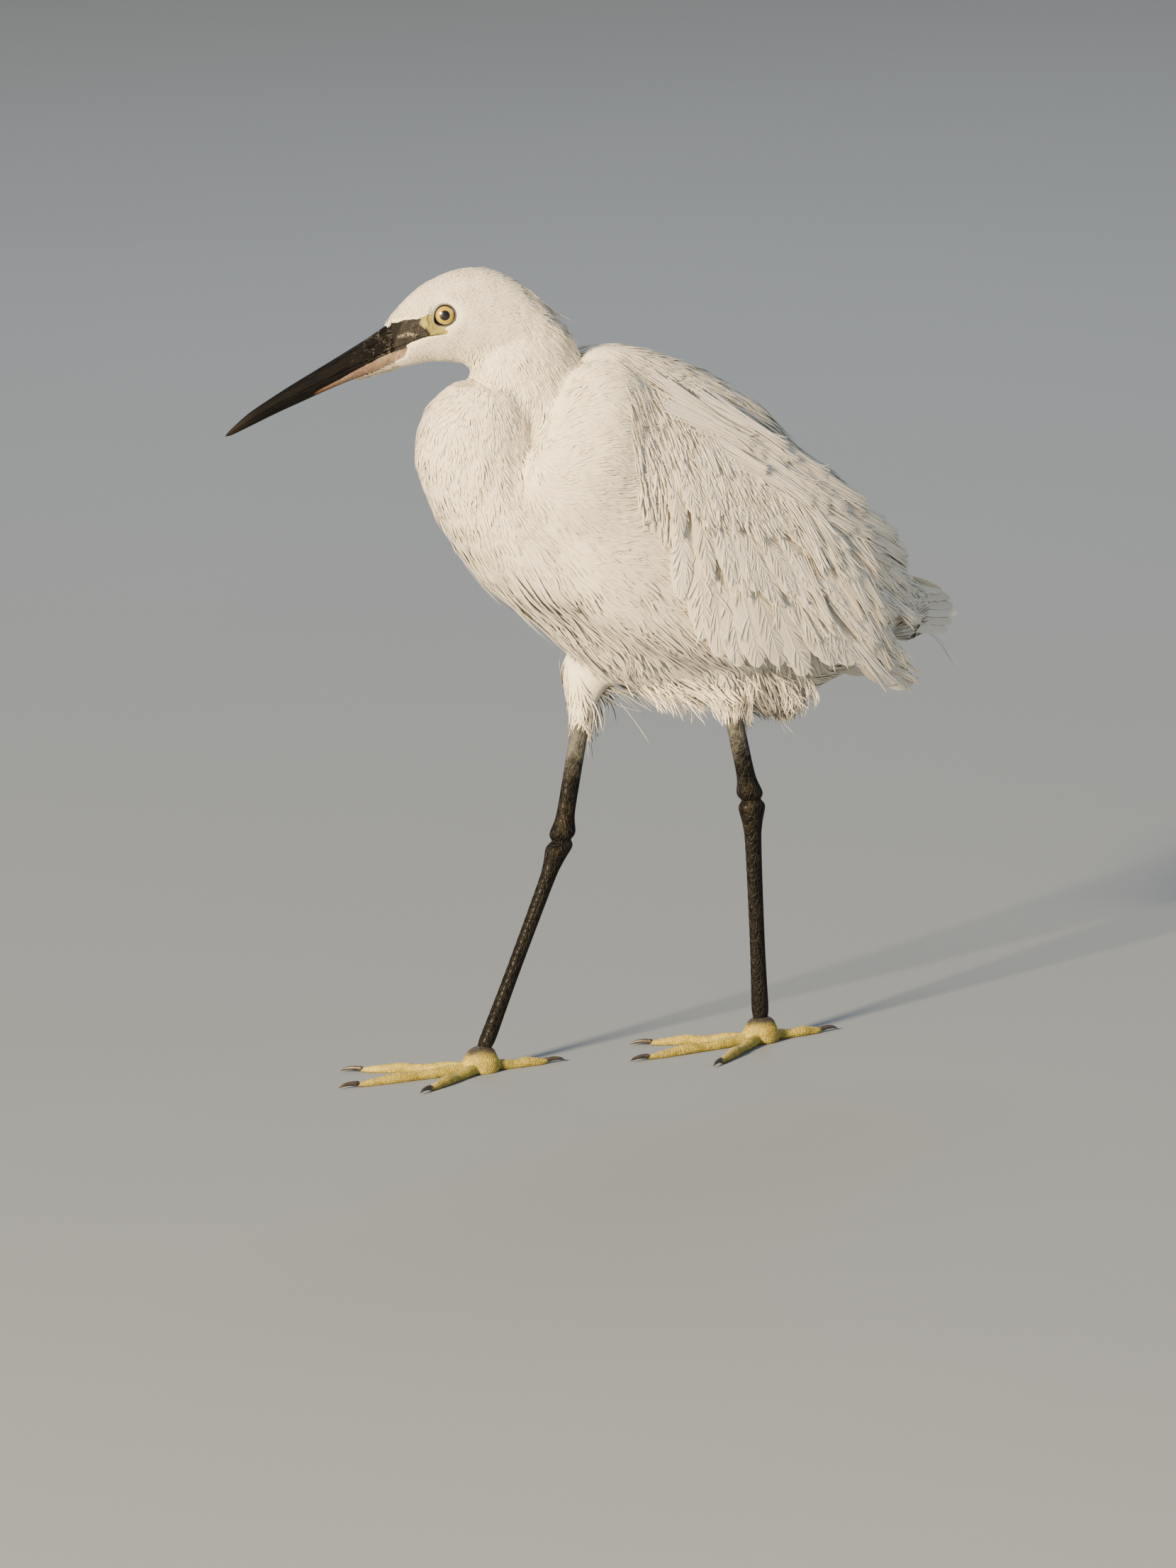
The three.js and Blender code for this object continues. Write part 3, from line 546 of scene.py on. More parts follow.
def bill_paint(name, lower):
    """Black horn with fine lines along it, scuffed pale flakes near its root and a brown tip."""
    paint = Paint(name, specular_ior_level=0.09)
    along, around = paint.attribute("along"), paint.attribute("around")
    place = paint.place()
    lines = paint.noise(paint.vector(along * 9, around * 26, 0.5), 1.6, 4.0, 0.6)
    flakes = paint.noise(paint.vector(along * 60, around * 14, 0.2), 1.2, 5.0, 0.7)
    patches = paint.noise(place, 240.0, 3.0, 0.6)
    near_root = 1 - along.ramp(0.12, 0.36)
    worn = (flakes * 0.55 + patches * 0.45).ramp(0.5, 0.66) * near_root
    tip = along.ramp(0.78, 1.0)
    tone = paint.mixed(lines.ramp(0.42, 0.75), (0.003, 0.003, 0.0033), (0.012, 0.0115, 0.011))
    tone = paint.mixed(tip * 0.6, tone, (0.02, 0.016, 0.012))
    tone = paint.mixed(worn * 0.6, tone, (0.17, 0.154, 0.126))
    if lower:
        pink = paint.attribute("pink")
        flesh = paint.mixed(flakes.ramp(0.35, 0.75), (0.15, 0.105, 0.08), (0.34, 0.235, 0.18))
        rose = paint.mixed(patches.ramp(0.3, 0.7), (0.17, 0.125, 0.09), (0.36, 0.28, 0.2))
        flesh = paint.mixed(along.ramp(0.1, 0.26), rose, flesh)
        flesh = paint.mixed(along.ramp(0.36, 0.52), flesh, (0.15, 0.075, 0.04))
        tone = paint.mixed((pink + (patches - 0.5) * 0.5).ramp(0.3, 0.7), tone, flesh)
    paint.feed("Base Color", tone)
    paint.feed("Roughness", 0.4 + worn * 0.3 + lines * 0.2)
    paint.bump(lines + worn * 0.8 + flakes * 0.25, 0.4, 0.0003)
    return paint.material


def eye_paint():
    """Pale yellow iris with fine rays, black pupil and a dark rim, under a wet coat."""
    paint = Paint("eye", roughness=0.25, coat_weight=1.0, coat_roughness=0.02, specular_ior_level=0.5)
    out = paint.attribute("out")
    ray = paint.attribute("ray")
    rays = paint.noise(paint.vector(ray * 30, out * 1.5), 1.0, 4.0, 0.7)
    iris = paint.mixed(rays.ramp(0.3, 0.7), (0.31, 0.215, 0.009), (0.47, 0.345, 0.022))
    iris = paint.mixed((1 - out.ramp(PUPIL_RADIUS, PUPIL_RADIUS + 0.5)) * 0.45, iris, (0.52, 0.4, 0.06))
    iris = paint.mixed(out.ramp(IRIS_RADIUS - 0.7, IRIS_RADIUS) * 0.6, iris, (0.26, 0.16, 0.015))
    dark = 1 - out.ramp(PUPIL_RADIUS - 0.04, PUPIL_RADIUS + 0.08)
    dark = dark + out.ramp(IRIS_RADIUS - 0.12, IRIS_RADIUS + 0.04)
    paint.feed("Base Color", paint.mixed(dark, iris, (0.004, 0.004, 0.005)))
    return paint.material


def leg_paint():
    """Scaly leg: grey and worn above, near black below, with fine pale edges to the scales and a painted warm
    highlight round the ankle.
    """
    paint = Paint("leg", specular_ior_level=0.1)
    place = paint.place()
    height = paint.axes(place)[2]
    tall = paint.node("ShaderNodeMapping", {}, {"Vector": place, "Scale": (1, 1, 0.6)})
    scales = paint.scales(tall, 620.0, 0.85)
    seams = 1 - scales.ramp(0.0, 0.09)
    blotch = paint.noise(place, 260.0, 4.0, 0.65)
    upper = (height + (blotch - 0.5) * 0.02).ramp(0.124, 0.142)
    tone = paint.mixed(blotch.ramp(0.35, 0.7), (0.003, 0.003, 0.003), (0.009, 0.0082, 0.007))
    grey = paint.mixed(blotch.ramp(0.3, 0.7), (0.045, 0.046, 0.043), (0.125, 0.125, 0.115))
    tone = paint.mixed(upper, tone, grey)
    # Painted highlight: warm bronze glints, speckled over a band round the ankle
    ankle_highlight = (1 - abs(height - 0.104).ramp(0.006, 0.016)) * blotch.ramp(0.5, 0.62)
    tone = paint.mixed(ankle_highlight * 0.18, tone, (0.05, 0.037, 0.016))
    tone = paint.mixed(seams * (0.06 + upper * 0.3), tone, (0.2, 0.185, 0.145))
    paint.feed("Base Color", tone)
    paint.feed("Roughness", 0.42 + upper * 0.2 + seams * 0.15)
    paint.bump(scales.ramp(0.0, 0.16) + blotch * 0.3, 0.6, 0.0004)
    return paint.material


def toe_paint():
    """Greenish yellow toes, darker between the scales and at the joint with the black leg."""
    paint = Paint("toe", specular_ior_level=0.45)
    place = paint.place()
    height = paint.axes(place)[2]
    scales = paint.scales(place, 760.0, 0.8)
    blotch = paint.noise(place, 320.0, 4.0, 0.65)
    tone = paint.mixed(blotch.ramp(0.3, 0.75), (0.26, 0.21, 0.03), (0.5, 0.41, 0.075))
    tone = paint.mixed((1 - scales.ramp(0.0, 0.1)) * 0.55, tone, (0.16, 0.12, 0.03))
    tone = paint.mixed((height + (blotch - 0.5) * 0.006).ramp(0.0065, 0.0105), tone, (0.03, 0.027, 0.02))
    paint.feed("Base Color", tone)
    paint.feed("Roughness", 0.5 + blotch * 0.15)
    paint.bump(scales.ramp(0.0, 0.2) + blotch * 0.3, 0.5, 0.0004)
    return paint.material


def claw_paint():
    """Dark horn with fine lines."""
    paint = Paint("claw", specular_ior_level=0.5)
    lines = paint.noise(paint.place(), 700.0, 4.0, 0.7)
    paint.feed("Base Color", paint.mixed(lines.ramp(0.3, 0.7), (0.015, 0.013, 0.012), (0.07, 0.055, 0.04)))
    paint.feed("Roughness", 0.3 + lines * 0.2)
    paint.bump(lines, 0.3, 0.0002)
    return paint.material


# Meshes

def linked(name, data):
    """A new object in the scene."""
    made = bpy.data.objects.new(name, data)
    bpy.context.scene.collection.objects.link(made)
    return made


def finished(name, mesh, material, nodes=()):
    """Puts a finished mesh, already in the row frame, in the scene as a piece."""
    mesh.materials.clear()
    mesh.materials.append(material)
    mesh.polygons.foreach_set("use_smooth", np.ones(len(mesh.polygons), bool))
    piece = linked(name, mesh)
    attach(piece, "root")
    if nodes:
        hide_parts(*nodes)


def mesh_of(bm, name):
    """A mesh with what a bmesh holds, which is given up."""
    mesh = bpy.data.meshes.new(name)
    bm.to_mesh(mesh)
    bm.free()
    return mesh


def mesh_points(mesh):
    points = np.empty(len(mesh.vertices) * 3)
    mesh.vertices.foreach_get("co", points)
    return points.reshape(-1, 3)


def set_points(mesh, points):
    mesh.vertices.foreach_set("co", np.ascontiguousarray(points, float).ravel())
    mesh.update()


def mesh_normals(mesh):
    return np.array([v.normal for v in mesh.vertices])


def add_form(bm, form, lift=0.0, around=64, rings=80, moved=None):
    """A closed shell of the form, with its vertices moved by a function where one is given."""
    made = bmesh.ops.create_uvsphere(bm, u_segments=around, v_segments=rings, radius=1)["verts"]
    ball = np.array([v.co for v in made])
    share = np.arccos(np.clip(ball[:, 2], -1, 1)) / math.pi
    points = form.point(share, np.arctan2(ball[:, 1], ball[:, 0]), lift)
    if moved:
        points = moved(points)
    for vertex, point in zip(made, points):
        vertex.co = point


def remeshed(bm, voxel):
    """One even closed mesh round all the shells of a bmesh."""
    rough = mesh_of(bm, "rough")
    holder = linked("rough", rough)
    remesh = holder.modifiers.new("even", "REMESH")
    remesh.mode = "VOXEL"
    remesh.voxel_size = voxel
    mesh = bpy.data.meshes.new_from_object(holder.evaluated_get(bpy.context.evaluated_depsgraph_get()))
    bpy.data.objects.remove(holder)
    bpy.data.meshes.remove(rough)
    return mesh


def smoothed(bm, verts, times):
    for _ in range(times):
        bmesh.ops.smooth_vert(bm, verts=verts, factor=0.5, use_axis_x=True, use_axis_y=True,
                              use_axis_z=True)


def eased(mesh, times):
    """Smooths a mesh as a whole."""
    bm = bmesh.new()
    bm.from_mesh(mesh)
    smoothed(bm, bm.verts, times)
    bm.to_mesh(mesh)
    bm.free()


def attribute(mesh, name, values):
    mesh.attributes.new(name, "FLOAT", "POINT").data.foreach_set("value", np.asarray(values, np.float32))


# Skin

def skin_forms():
    """The forms that the skin wraps, each drawn in by the depth of the coat over it."""
    bm = bmesh.new()
    far = np.array([1, -1, 1])
    for form in (TORSO, NECK_LOWER, BREAST, NECK_UPPER, WING, FLANK, SHOULDER, MANTLE, TAIL):
        add_form(bm, form, -SKIN_DEPTH)
    for form in (WING, FLANK, SHOULDER):
        add_form(bm, form, -SKIN_DEPTH, moved=lambda points: points * far)
    add_form(bm, MANTLE, -SKIN_DEPTH, moved=lambda points: points * far + FAR_SHOULDER_SHIFT)
    add_form(bm, HEAD, -HEAD_SKIN_DEPTH, moved=from_head)
    for side in SIDES:
        add_form(bm, leg_forms(side)[0], -THIGH_SKIN_DEPTH)
    bmesh.ops.recalc_face_normals(bm, faces=bm.faces)
    return bm


def body_skin():
    """One skin for the head, necks, torso, wings, tail and thighs, still in millimetres."""
    mesh = remeshed(skin_forms(), SKIN_VOXEL)
    bm = bmesh.new()
    bm.from_mesh(mesh)
    smoothed(bm, [v for v in bm.verts if 150 < v.co.z < 262 and -50 < v.co.x < 110], 45)
    smoothed(bm, [v for v in bm.verts if v.co.z < 300 and v.co.x < 64], 14)
    smoothed(bm, [v for v in bm.verts if v.co.z < 318], 4)
    smoothed(bm, [v for v in bm.verts if v.co.z > 262 and v.co.x < 34], 22)
    smoothed(bm, bm.verts, 3)
    edges = set()
    for face in bm.faces:
        along, across, up = to_head([face.calc_center_median()])[0]
        if 28 < along < 68 and 314 < up < 348 and abs(across) > 2:
            edges.update(face.edges)
    bmesh.ops.subdivide_edges(bm, edges=list(edges), cuts=3, use_grid_fill=True)
    smoothed(bm, [v for v in bm.verts if 27 < to_head([v.co])[0][0] < 70 and v.co.z > 313], 4)
    bmesh.ops.triangulate(bm, faces=[f for f in bm.faces if len(f.verts) > 4])
    bm.to_mesh(mesh)
    bm.free()
    points = mesh_points(mesh)
    depths = marked(mesh, to_head(points))
    head = to_head(points - mesh_normals(mesh) * depths[:, None])
    set_points(mesh, from_head(pressed(head)))
    return mesh


def marked(mesh, head):
    """Marks the parts of the bare skin on the mesh, and gives how deep the furrows between them are."""
    near = (head[:, 0] > 24) & (head[:, 2] > 310)
    flat = head[near][:, [0, 2]]
    below = height_at(MOUTH_LINE, flat[:, 0]) - flat[:, 1]
    marks = {}
    marks["bare"] = np.clip(0.5 + depth_inside(flat, BARE_EDGE), 0, 1)
    marks["yellow"] = np.clip(0.5 + depth_inside(flat, YELLOW_EDGE) / 2.4, 0, 1)
    marks["pink"] = smooth_step(1.2, 2.2, below) * (flat[:, 0] > 50)
    # Where the mouth parts: pressed into a furrow below, and painted with shade in the skin's paint
    marks["gape_shade"] = gauss(below, 0.35) * (flat[:, 0] > 38.5)
    marks["horn"] = gauss(from_line(flat, HORN_LINE), 0.7)
    marks["fore"] = smooth_step(55.5, 61.5, flat[:, 0] + (flat[:, 1] - 330) * 0.4)
    for name, values in marks.items():
        whole = np.zeros(len(head))
        whole[near] = values
        attribute(mesh, name, whole)
    fold = gauss(from_line(flat, FOLD_LINE), 0.45)
    ring = gauss(from_eye(flat) - 6.3, 0.6)
    bare = marks["bare"]
    depths = np.zeros(len(head))
    depths[near] = bare * 0.3 + marks["gape_shade"] * 0.55 + fold * 0.5 + ring * 0.3 - marks["horn"] * 0.2 * bare
    return depths


def pressed(head):
    """Points of the head, with the skin round each eye laid at the height of its lid."""
    for sign in SIDES.values():
        looks = eye_looks(sign)
        place = EYE_PLACE * [1, sign, 1]
        ball = (head - place) @ looks.T
        away = np.hypot(ball[:, 0], ball[:, 2])
        near = (away < LID_REACH) & (ball[:, 1] * sign > 0)
        height = LID_HEIGHT - 1.5 * np.maximum(0, LID_INNER_EDGE - away)
        laid = 1 - smooth_step(LID_INNER_EDGE, LID_REACH, away)
        ball[:, 1] += np.where(near, (height * sign - ball[:, 1]) * laid, 0)
        head = ball @ looks + place
    return head


def eye_looks(sign):
    """Turns points of an eye that looks out sideways to the way the real one looks."""
    turn = Matrix.Rotation(-EYE_TURN * sign, 3, "Z") @ Matrix.Rotation(EYE_TILT * sign, 3, "X")
    return np.array(turn).T


class Surface:
    """The finished skin, to find places on it and to grow feathers from it."""

    def __init__(self, mesh):
        mesh.calc_loop_triangles()
        self.points = mesh_points(mesh)
        self.triangles = np.array([t.vertices for t in mesh.loop_triangles])
        self.corners = np.array([t.loops for t in mesh.loop_triangles])
        self.vertex_normals = mesh_normals(mesh)
        self.tree = BVHTree.FromPolygons(self.points.tolist(), self.triangles.tolist())
        a, b, c = (self.points[self.triangles[:, k]] for k in range(3))
        self.areas = np.linalg.norm(np.cross(b - a, c - a), axis=1) / 2
        self.middles = (a + b + c) / 3
        uv = np.empty(len(mesh.loops) * 2)
        mesh.uv_layers["OFBake"].uv.foreach_get("vector", uv)
        self.uv = uv.reshape(-1, 2)

    def nearest(self, points):
        """Places on the skin nearest to the given ones, with its normals and unwrap there."""
        found = [self.tree.find_nearest(point) for point in points.tolist()]
        places = np.array([f[0] for f in found])
        index = np.array([f[2] for f in found])
        corners = self.points[self.triangles[index]]
        weight = 1 / (np.linalg.norm(corners - places[:, None], axis=2) + 0.05)
        weight /= weight.sum(axis=1, keepdims=True)
        normals = unit((self.vertex_normals[self.triangles[index]] * weight[..., None]).sum(axis=1))
        return places, normals, (self.uv[self.corners[index]] * weight[..., None]).sum(axis=1)

    def scattered(self, random, density):
        """Random places on the skin, with a density for each of its triangles per square millimetre."""
        expected = self.areas * density
        count = np.floor(expected + random.random(len(expected))).astype(int)
        index = np.repeat(np.arange(len(count)), count)
        r1 = np.sqrt(random.random(len(index)))[:, None]
        r2 = random.random(len(index))[:, None]
        a, b, c = (self.points[self.triangles[index, k]] for k in range(3))
        return a * (1 - r1) + b * r1 * (1 - r2) + c * r1 * r2


# The lie of the plumage: each row has a place (x, y to the side, z), the way the plumage lies there, and its
# length, width and lift
HEAD_LIE = [
    (62, 3, 337, -0.75, 0.1, 0.6, 2.8, 0.65, 0.5), (50, 6, 346, -0.87, 0.1, 0.42, 3.2, 0.75, 0.25),
    (38, 8, 352, -0.97, 0.05, 0.22, 4, 0.8, 0.3), (20, 5, 357, -1, 0, 0, 5, 0.85, 0.4),
    (5, 5, 353, -0.97, 0, -0.25, 7, 0.9, 0.6), (-10, 5, 342, -0.78, 0, -0.62, 9, 1, 0.9),
    (-20, 4, 326, -0.4, 0, -0.9, 10, 1.1, 0.8), (50, 8.5, 342, -0.9, 0.15, 0.4, 2.6, 0.6, 0.3),
    (31, 12.5, 347, -0.8, 0.1, 0.55, 3, 0.6, 0.3), (27, 14, 338, -1, 0.1, -0.05, 3.6, 0.65, 0.3),
    (35, 13, 327, -0.98, 0.1, -0.25, 3.2, 0.65, 0.3), (51, 8, 322, -0.6, 0.1, -0.8, 2.8, 0.6, 0.45),
    (60, 4, 316, -0.95, 0, -0.2, 3.4, 0.65, 0.5), (10, 14, 330, -0.97, 0, -0.25, 5, 0.85, 0.4),
    (-5, 13, 322, -0.75, 0, -0.65, 7, 1, 0.45), (32, 5, 313, -0.97, 0, -0.25, 4.5, 0.8, 0.4),
]
BODY_LIE = [
    (84, 5, 318, 0.05, 0, -1, 6, 0.95, 0.5), (62, 18, 312, -0.25, 0, -0.97, 7, 1, 0.55),
    (34, 15, 312, -0.15, 0, -0.99, 9, 1.1, 0.6), (84, 16, 302, 0.05, 0, -1, 7, 1, 0.5),
    (66, 22, 288, 0.2, 0, -0.98, 8, 1.05, 0.6), (102, 8, 301, 0.45, 0, -0.89, 7, 1, 0.6),
    (111, 5, 280, 0, 0, -1, 9, 1.1, 0.7), (98, 22, 272, -0.2, 0, -0.98, 9, 1.1, 0.6),
    (105, 5, 256, -0.35, 0, -0.94, 11, 1.2, 0.8), (84, 27, 256, -0.45, 0.05, -0.89, 10, 1.1, 0.45),
    (66, 32, 240, -0.8, 0.1, -0.6, 11, 1.2, 0.5), (78, 26, 228, -0.6, 0, -0.8, 13, 1.2, 0.55),
    (88, 8, 228, -0.55, 0, -0.83, 15, 1.2, 1), (70, 28, 212, -0.66, 0, -0.75, 16, 1.2, 0.7),
    (60, 6, 200, -0.75, 0, -0.66, 20, 1.2, 1), (42, 10, 184, -0.78, 0, -0.62, 22, 1.2, 1.2),
    (45, 36, 205, -0.78, 0, -0.62, 16, 1.2, 0.8), (56, 42, 262, -0.98, 0.15, -0.1, 10, 1.05, 0.5),
    (60, 33, 286, -0.93, 0.3, 0.1, 9, 1, 0.5), (42, 43, 238, -0.95, 0.05, -0.3, 12, 1.1, 0.5),
    (24, 46, 262, -0.99, 0, -0.12, 12, 1.1, 0.6), (24, 44, 228, -0.93, 0, -0.37, 13, 1.1, 0.7),
    (42, 26, 303, -0.98, 0.1, -0.05, 9, 1.05, 0.45), (14, 32, 297, -0.85, 0.1, -0.45, 12, 1.2, 0.6),
    (22, 6, 316, -0.98, 0, -0.1, 15, 1.2, 1), (-15, 8, 303, -0.92, 0, -0.4, 24, 1.25, 1),
    (-45, 10, 285, -0.84, 0, -0.54, 32, 1.3, 1.3), (-75, 10, 260, -0.8, 0, -0.6, 32, 1.3, 1.5),
    (-105, 6, 232, -0.75, 0, -0.66, 26, 1.3, 1.4), (-122, 5, 206, -0.78, 0, -0.62, 20, 1.3, 1),
    (12, 42, 200, -0.8, 0, -0.6, 15, 1.2, 0.9), (-20, 38, 180, -0.72, -0.1, -0.69, 17, 1.2, 1.1),
    (-60, 33, 170, -0.72, -0.1, -0.69, 18, 1.3, 1.2), (20, 10, 165, -0.85, 0, -0.5, 20, 1.3, 1.3),
    (-10, 10, 157, -0.85, 0, -0.53, 20, 1.3, 1.5), (-50, 10, 152, -0.8, 0, -0.6, 18, 1.3, 1.8),
    (-88, 8, 157, -0.9, 0, -0.4, 18, 1.3, 1.6), (-120, 7, 174, -0.97, 0, 0.1, 16, 1.3, 1),
    (-28, 17, 166, -0.1, 0, -0.99, 9, 1.1, 0.7), (25, 16, 168, 0.1, 0, -0.99, 9, 1.1, 0.7),
    (-34, 9, 152, -0.05, 0, -1, 6, 0.9, 0.6), (31, 9, 150, 0.1, 0, -1, 6, 0.9, 0.6),
    (-20, 45, 262, -0.25, 0, -0.97, 15, 1.2, 0.6), (-80, 28, 215, -0.6, 0, -0.8, 16, 1.3, 0.6),
]


class Lie:
    """How the plumage lies, blended between the named places."""

    def __init__(self):
        rows = []
        for side in (1, -1):
            head = np.array(HEAD_LIE, float) * [1, side, 1, 1, side, 1, 1, 1, 1]
            head[:, 3:6] = from_head(head[:, 3:6]) - HEAD_PIVOT
            head[:, :3] = from_head(head[:, :3])
            rows += [head, np.array(BODY_LIE, float) * [1, side, 1, 1, side, 1, 1, 1, 1]]
        self.rows = np.vstack(rows)

    def at(self, places):
        """Headings, lengths, widths and lifts at the given places."""
        blended = []
        for part in np.array_split(places, len(places) // 20000 + 1):
            away = ((part[:, None] - self.rows[None, :, :3]) ** 2).sum(-1)
            weight = 1 / (away + 30) ** 2
            blended.append(weight @ self.rows[:, 3:] / weight.sum(axis=1, keepdims=True))
        blended = np.vstack(blended)
        return unit(blended[:, :3]), blended[:, 3], blended[:, 4], blended[:, 5]


def toward_tip(points):
    """Shares along a feather that lie closer together toward its tip."""
    return 1 - (1 - np.linspace(0, 1, points)) ** 1.5


def dot(first, second):
    return (first * second).sum(axis=-1, keepdims=True)


def drift(random, places, length):
    """A value from about -1 to 1 that changes smoothly from place to place over the given length."""
    value = 0
    for _ in range(6):
        way = unit(random.normal(size=3)) * 2 * math.pi / length * random.uniform(0.7, 1.4)
        value = value + np.sin(places @ way + random.uniform(0, 2 * math.pi))
    return value / 2.4


class Coat:
    """Makes tufts and vanes, joined in meshes that each stay under the limit of a piece."""

    def __init__(self, skin, lie):
        self.skin = skin
        self.lie = lie

    def lines(self, random, roots, lengths, steps, wander=0.1, free=0.0, target=None, pull=0.0):
        """Lines from the roots that follow the lie over the skin, with the normal at each of their points."""
        places, normals, uv = self.skin.nearest(roots)
        line = [places]
        ups = [normals]
        turn = (random.normal(0, wander, len(roots)) + 2.2 * wander * drift(random, roots, 14))[:, None]
        for step in range(steps):
            heading = self.lie.at(places)[0]
            if target is not None:
                heading = unit(heading + pull * (step + 1) / steps * unit(target - places))
            heading = heading + np.cross(normals, heading) * turn
            heading = unit(heading - normals * dot(heading, normals) * (1 - free))
            onward = places + heading * (lengths / steps)[:, None]
            laid, found, _ = self.skin.nearest(onward)
            normals = normals if free else found
            places = laid * (1 - free) + onward * free
            line.append(places)
            ups.append(normals)
        return np.stack(line, 1), np.stack(ups, 1), uv

    def tufts(self, name, random, line, ups, uv, widths, lifts, sink=0.5, curl=0.15, shade=None, facing=None):
        """Slim tufts along the lines, each with three edges that run out to a point."""
        straight = (ups * ups[:, :1]).sum(axis=-1).min(axis=1) > 0.6
        if shade is None:
            shade = 0.5 + 0.3 * drift(random, line[:, 0], 8) + random.normal(0, 0.25, len(line))
            shade = np.clip(shade, 0, 1)
        line, ups, uv, widths, lifts, shade = (
            values[straight] for values in (line, ups, uv, widths, lifts, shade))
        lifts = lifts * (1 + 0.45 * drift(random, line[:, 0], 11))
        count, points = line.shape[:2]
        share = np.linspace(0, 1, points)[None, :, None]
        ahead = unit(np.gradient(line, axis=1))
        ups = unit(ups - ahead * dot(ups, ahead))
        right = np.cross(ahead, ups)
        spans = np.linalg.norm(line[:, -1] - line[:, 0], axis=1)[:, None, None]
        bend = random.normal(0, curl, count)[:, None, None] * spans * 0.3
        tips = lifts[:, None, None] * random.uniform(0.5, 1.5, (count, 1, 1))
        rise = -sink + (tips + sink) * share**0.7
        middle = line + ups * rise + right * bend * share**2
        wide = widths[:, None, None] * np.sqrt(np.clip(1 - share**2.2, 0, 1)) * (0.75 + 0.5 * share)
        deep = widths[:, None, None] * 0.22 * (1 - share)
        left_edge = middle - right * wide / 2
        right_edge = middle + right * wide / 2
        ridge = middle + ups * deep
        body = np.stack([left_edge, right_edge, ridge], 2)[:, :-1].reshape(count, -1, 3)
        vertices = np.concatenate([body, middle[:, -1:]], 1)
        if facing is not None:
            ups = unit(facing[straight])[:, None] + 0 * ups
        normals = np.stack([unit(ups - right * 0.55), unit(ups + right * 0.55), ups], 2)[:, :-1]
        normals = np.concatenate([normals.reshape(count, -1, 3), ups[:, -1:]], 1)
        quads, tris = [], [(0, 1, 2)]
        for k in range(points - 2):
            a, b = 3 * k, 3 * k + 3
            for i, j in ((2, 1), (0, 2), (1, 0)):
                quads.append((a + i, a + j, b + j, b + i))
        a = 3 * (points - 2)
        tris += [(a + i, a + j, a + 3) for i, j in ((2, 1), (0, 2), (1, 0))]
        across = np.concatenate([np.tile([0.0, 1.0, 0.5], points - 1), [0.5]])
        along = np.concatenate([np.repeat(np.linspace(0, 1, points)[:-1], 3), [1.0]])
        self.make(name, vertices, normals, quads, tris, across, along, uv, shade, "tuft")

    def vanes(self, name, random, line, ups, uv, half, roll, outline, mirrored=False, barbed=0):
        """Broad feathers along the lines: a shaft, a face on each side of it, and a few notches."""
        count, points = line.shape[:2]
        share = toward_tip(points)
        columns = np.array([-1, -0.93, -0.6, -0.3, -0.05, 0.05, 0.3, 0.6, 0.93, 1])
        wide = half[:, None] * outline(share)[None]
        cut = np.ones((count, points, 2))
        for _ in range(3):
            place = random.uniform(0.5, 0.95, (count, 1, 2))
            depth = random.uniform(0.0, 0.28, (count, 1, 2))
            cut -= depth * np.clip(1 - np.abs(share[None, :, None] - place) / 0.035, 0, 1)
        ahead = unit(np.gradient(line, axis=1))
        side = unit(np.cross(ups, ahead))
        turn = np.radians(roll)[:, None, None]
        side = unit(side * np.cos(turn) + np.cross(ahead, side) * np.sin(turn))
        ups = np.cross(ahead, side)
        edge = np.where(columns < 0, cut[:, :, :1], cut[:, :, 1:]) * wide[..., None] * columns
        shaft = 0.18 * (np.abs(columns) < 0.1) * (1 - 0.7 * share[:, None])
        droop = VANE_CAMBER * (columns**2)[None, None] * (wide / half[:, None])[..., None] ** 2
        height = shaft[None] - droop
        top = line[:, :, None] + side[:, :, None] * edge[..., None] + ups[:, :, None] * height[..., None]
        deep = VANE_THICKNESS * (1 - 0.6 * np.abs(columns)) * (1 - 0.5 * share[:, None])
        under = top - ups[:, :, None] * deep[None, ..., None]
        vertices = np.stack([top, under], 1).reshape(count, -1, 3)
        tilt = side[:, :, None] * (columns * 0.2)[:, None]
        normals = unit(np.stack([ups[:, :, None] + tilt, tilt - ups[:, :, None]], 1)).reshape(count, -1, 3)
        wide_count = len(columns)
        sheet = points * wide_count
        quads = []
        for r in range(points - 1):
            for c in range(wide_count - 1):
                a = r * wide_count + c
                quads.append((a, a + wide_count, a + wide_count + 1, a + 1))
                quads.append(tuple(sheet + i for i in (a, a + 1, a + wide_count + 1, a + wide_count)))
        rim = list(range(wide_count))
        rim += [r * wide_count + wide_count - 1 for r in range(1, points)]
        rim += [(points - 1) * wide_count + c for c in range(wide_count - 2, -1, -1)]
        rim += [r * wide_count for r in range(points - 2, 0, -1)]
        for a, b in zip(rim, rim[1:] + rim[:1]):
            quads.append((a, b, b + sheet, a + sheet))
        across = np.tile((columns + 1) / 2, points * 2)
        along = np.tile(np.repeat(share, wide_count), 2)
        if mirrored:
            vertices = vertices * [1, -1, 1]
            normals = normals * [1, -1, 1]
            quads = [q[::-1] for q in quads]
        self.make(name, vertices, normals, quads, [], across, along, uv, random.random(count), "vane")
        if barbed:
            self.barbs(name + "_barbs", random, line, ups, side, wide, share, uv, barbed, mirrored)

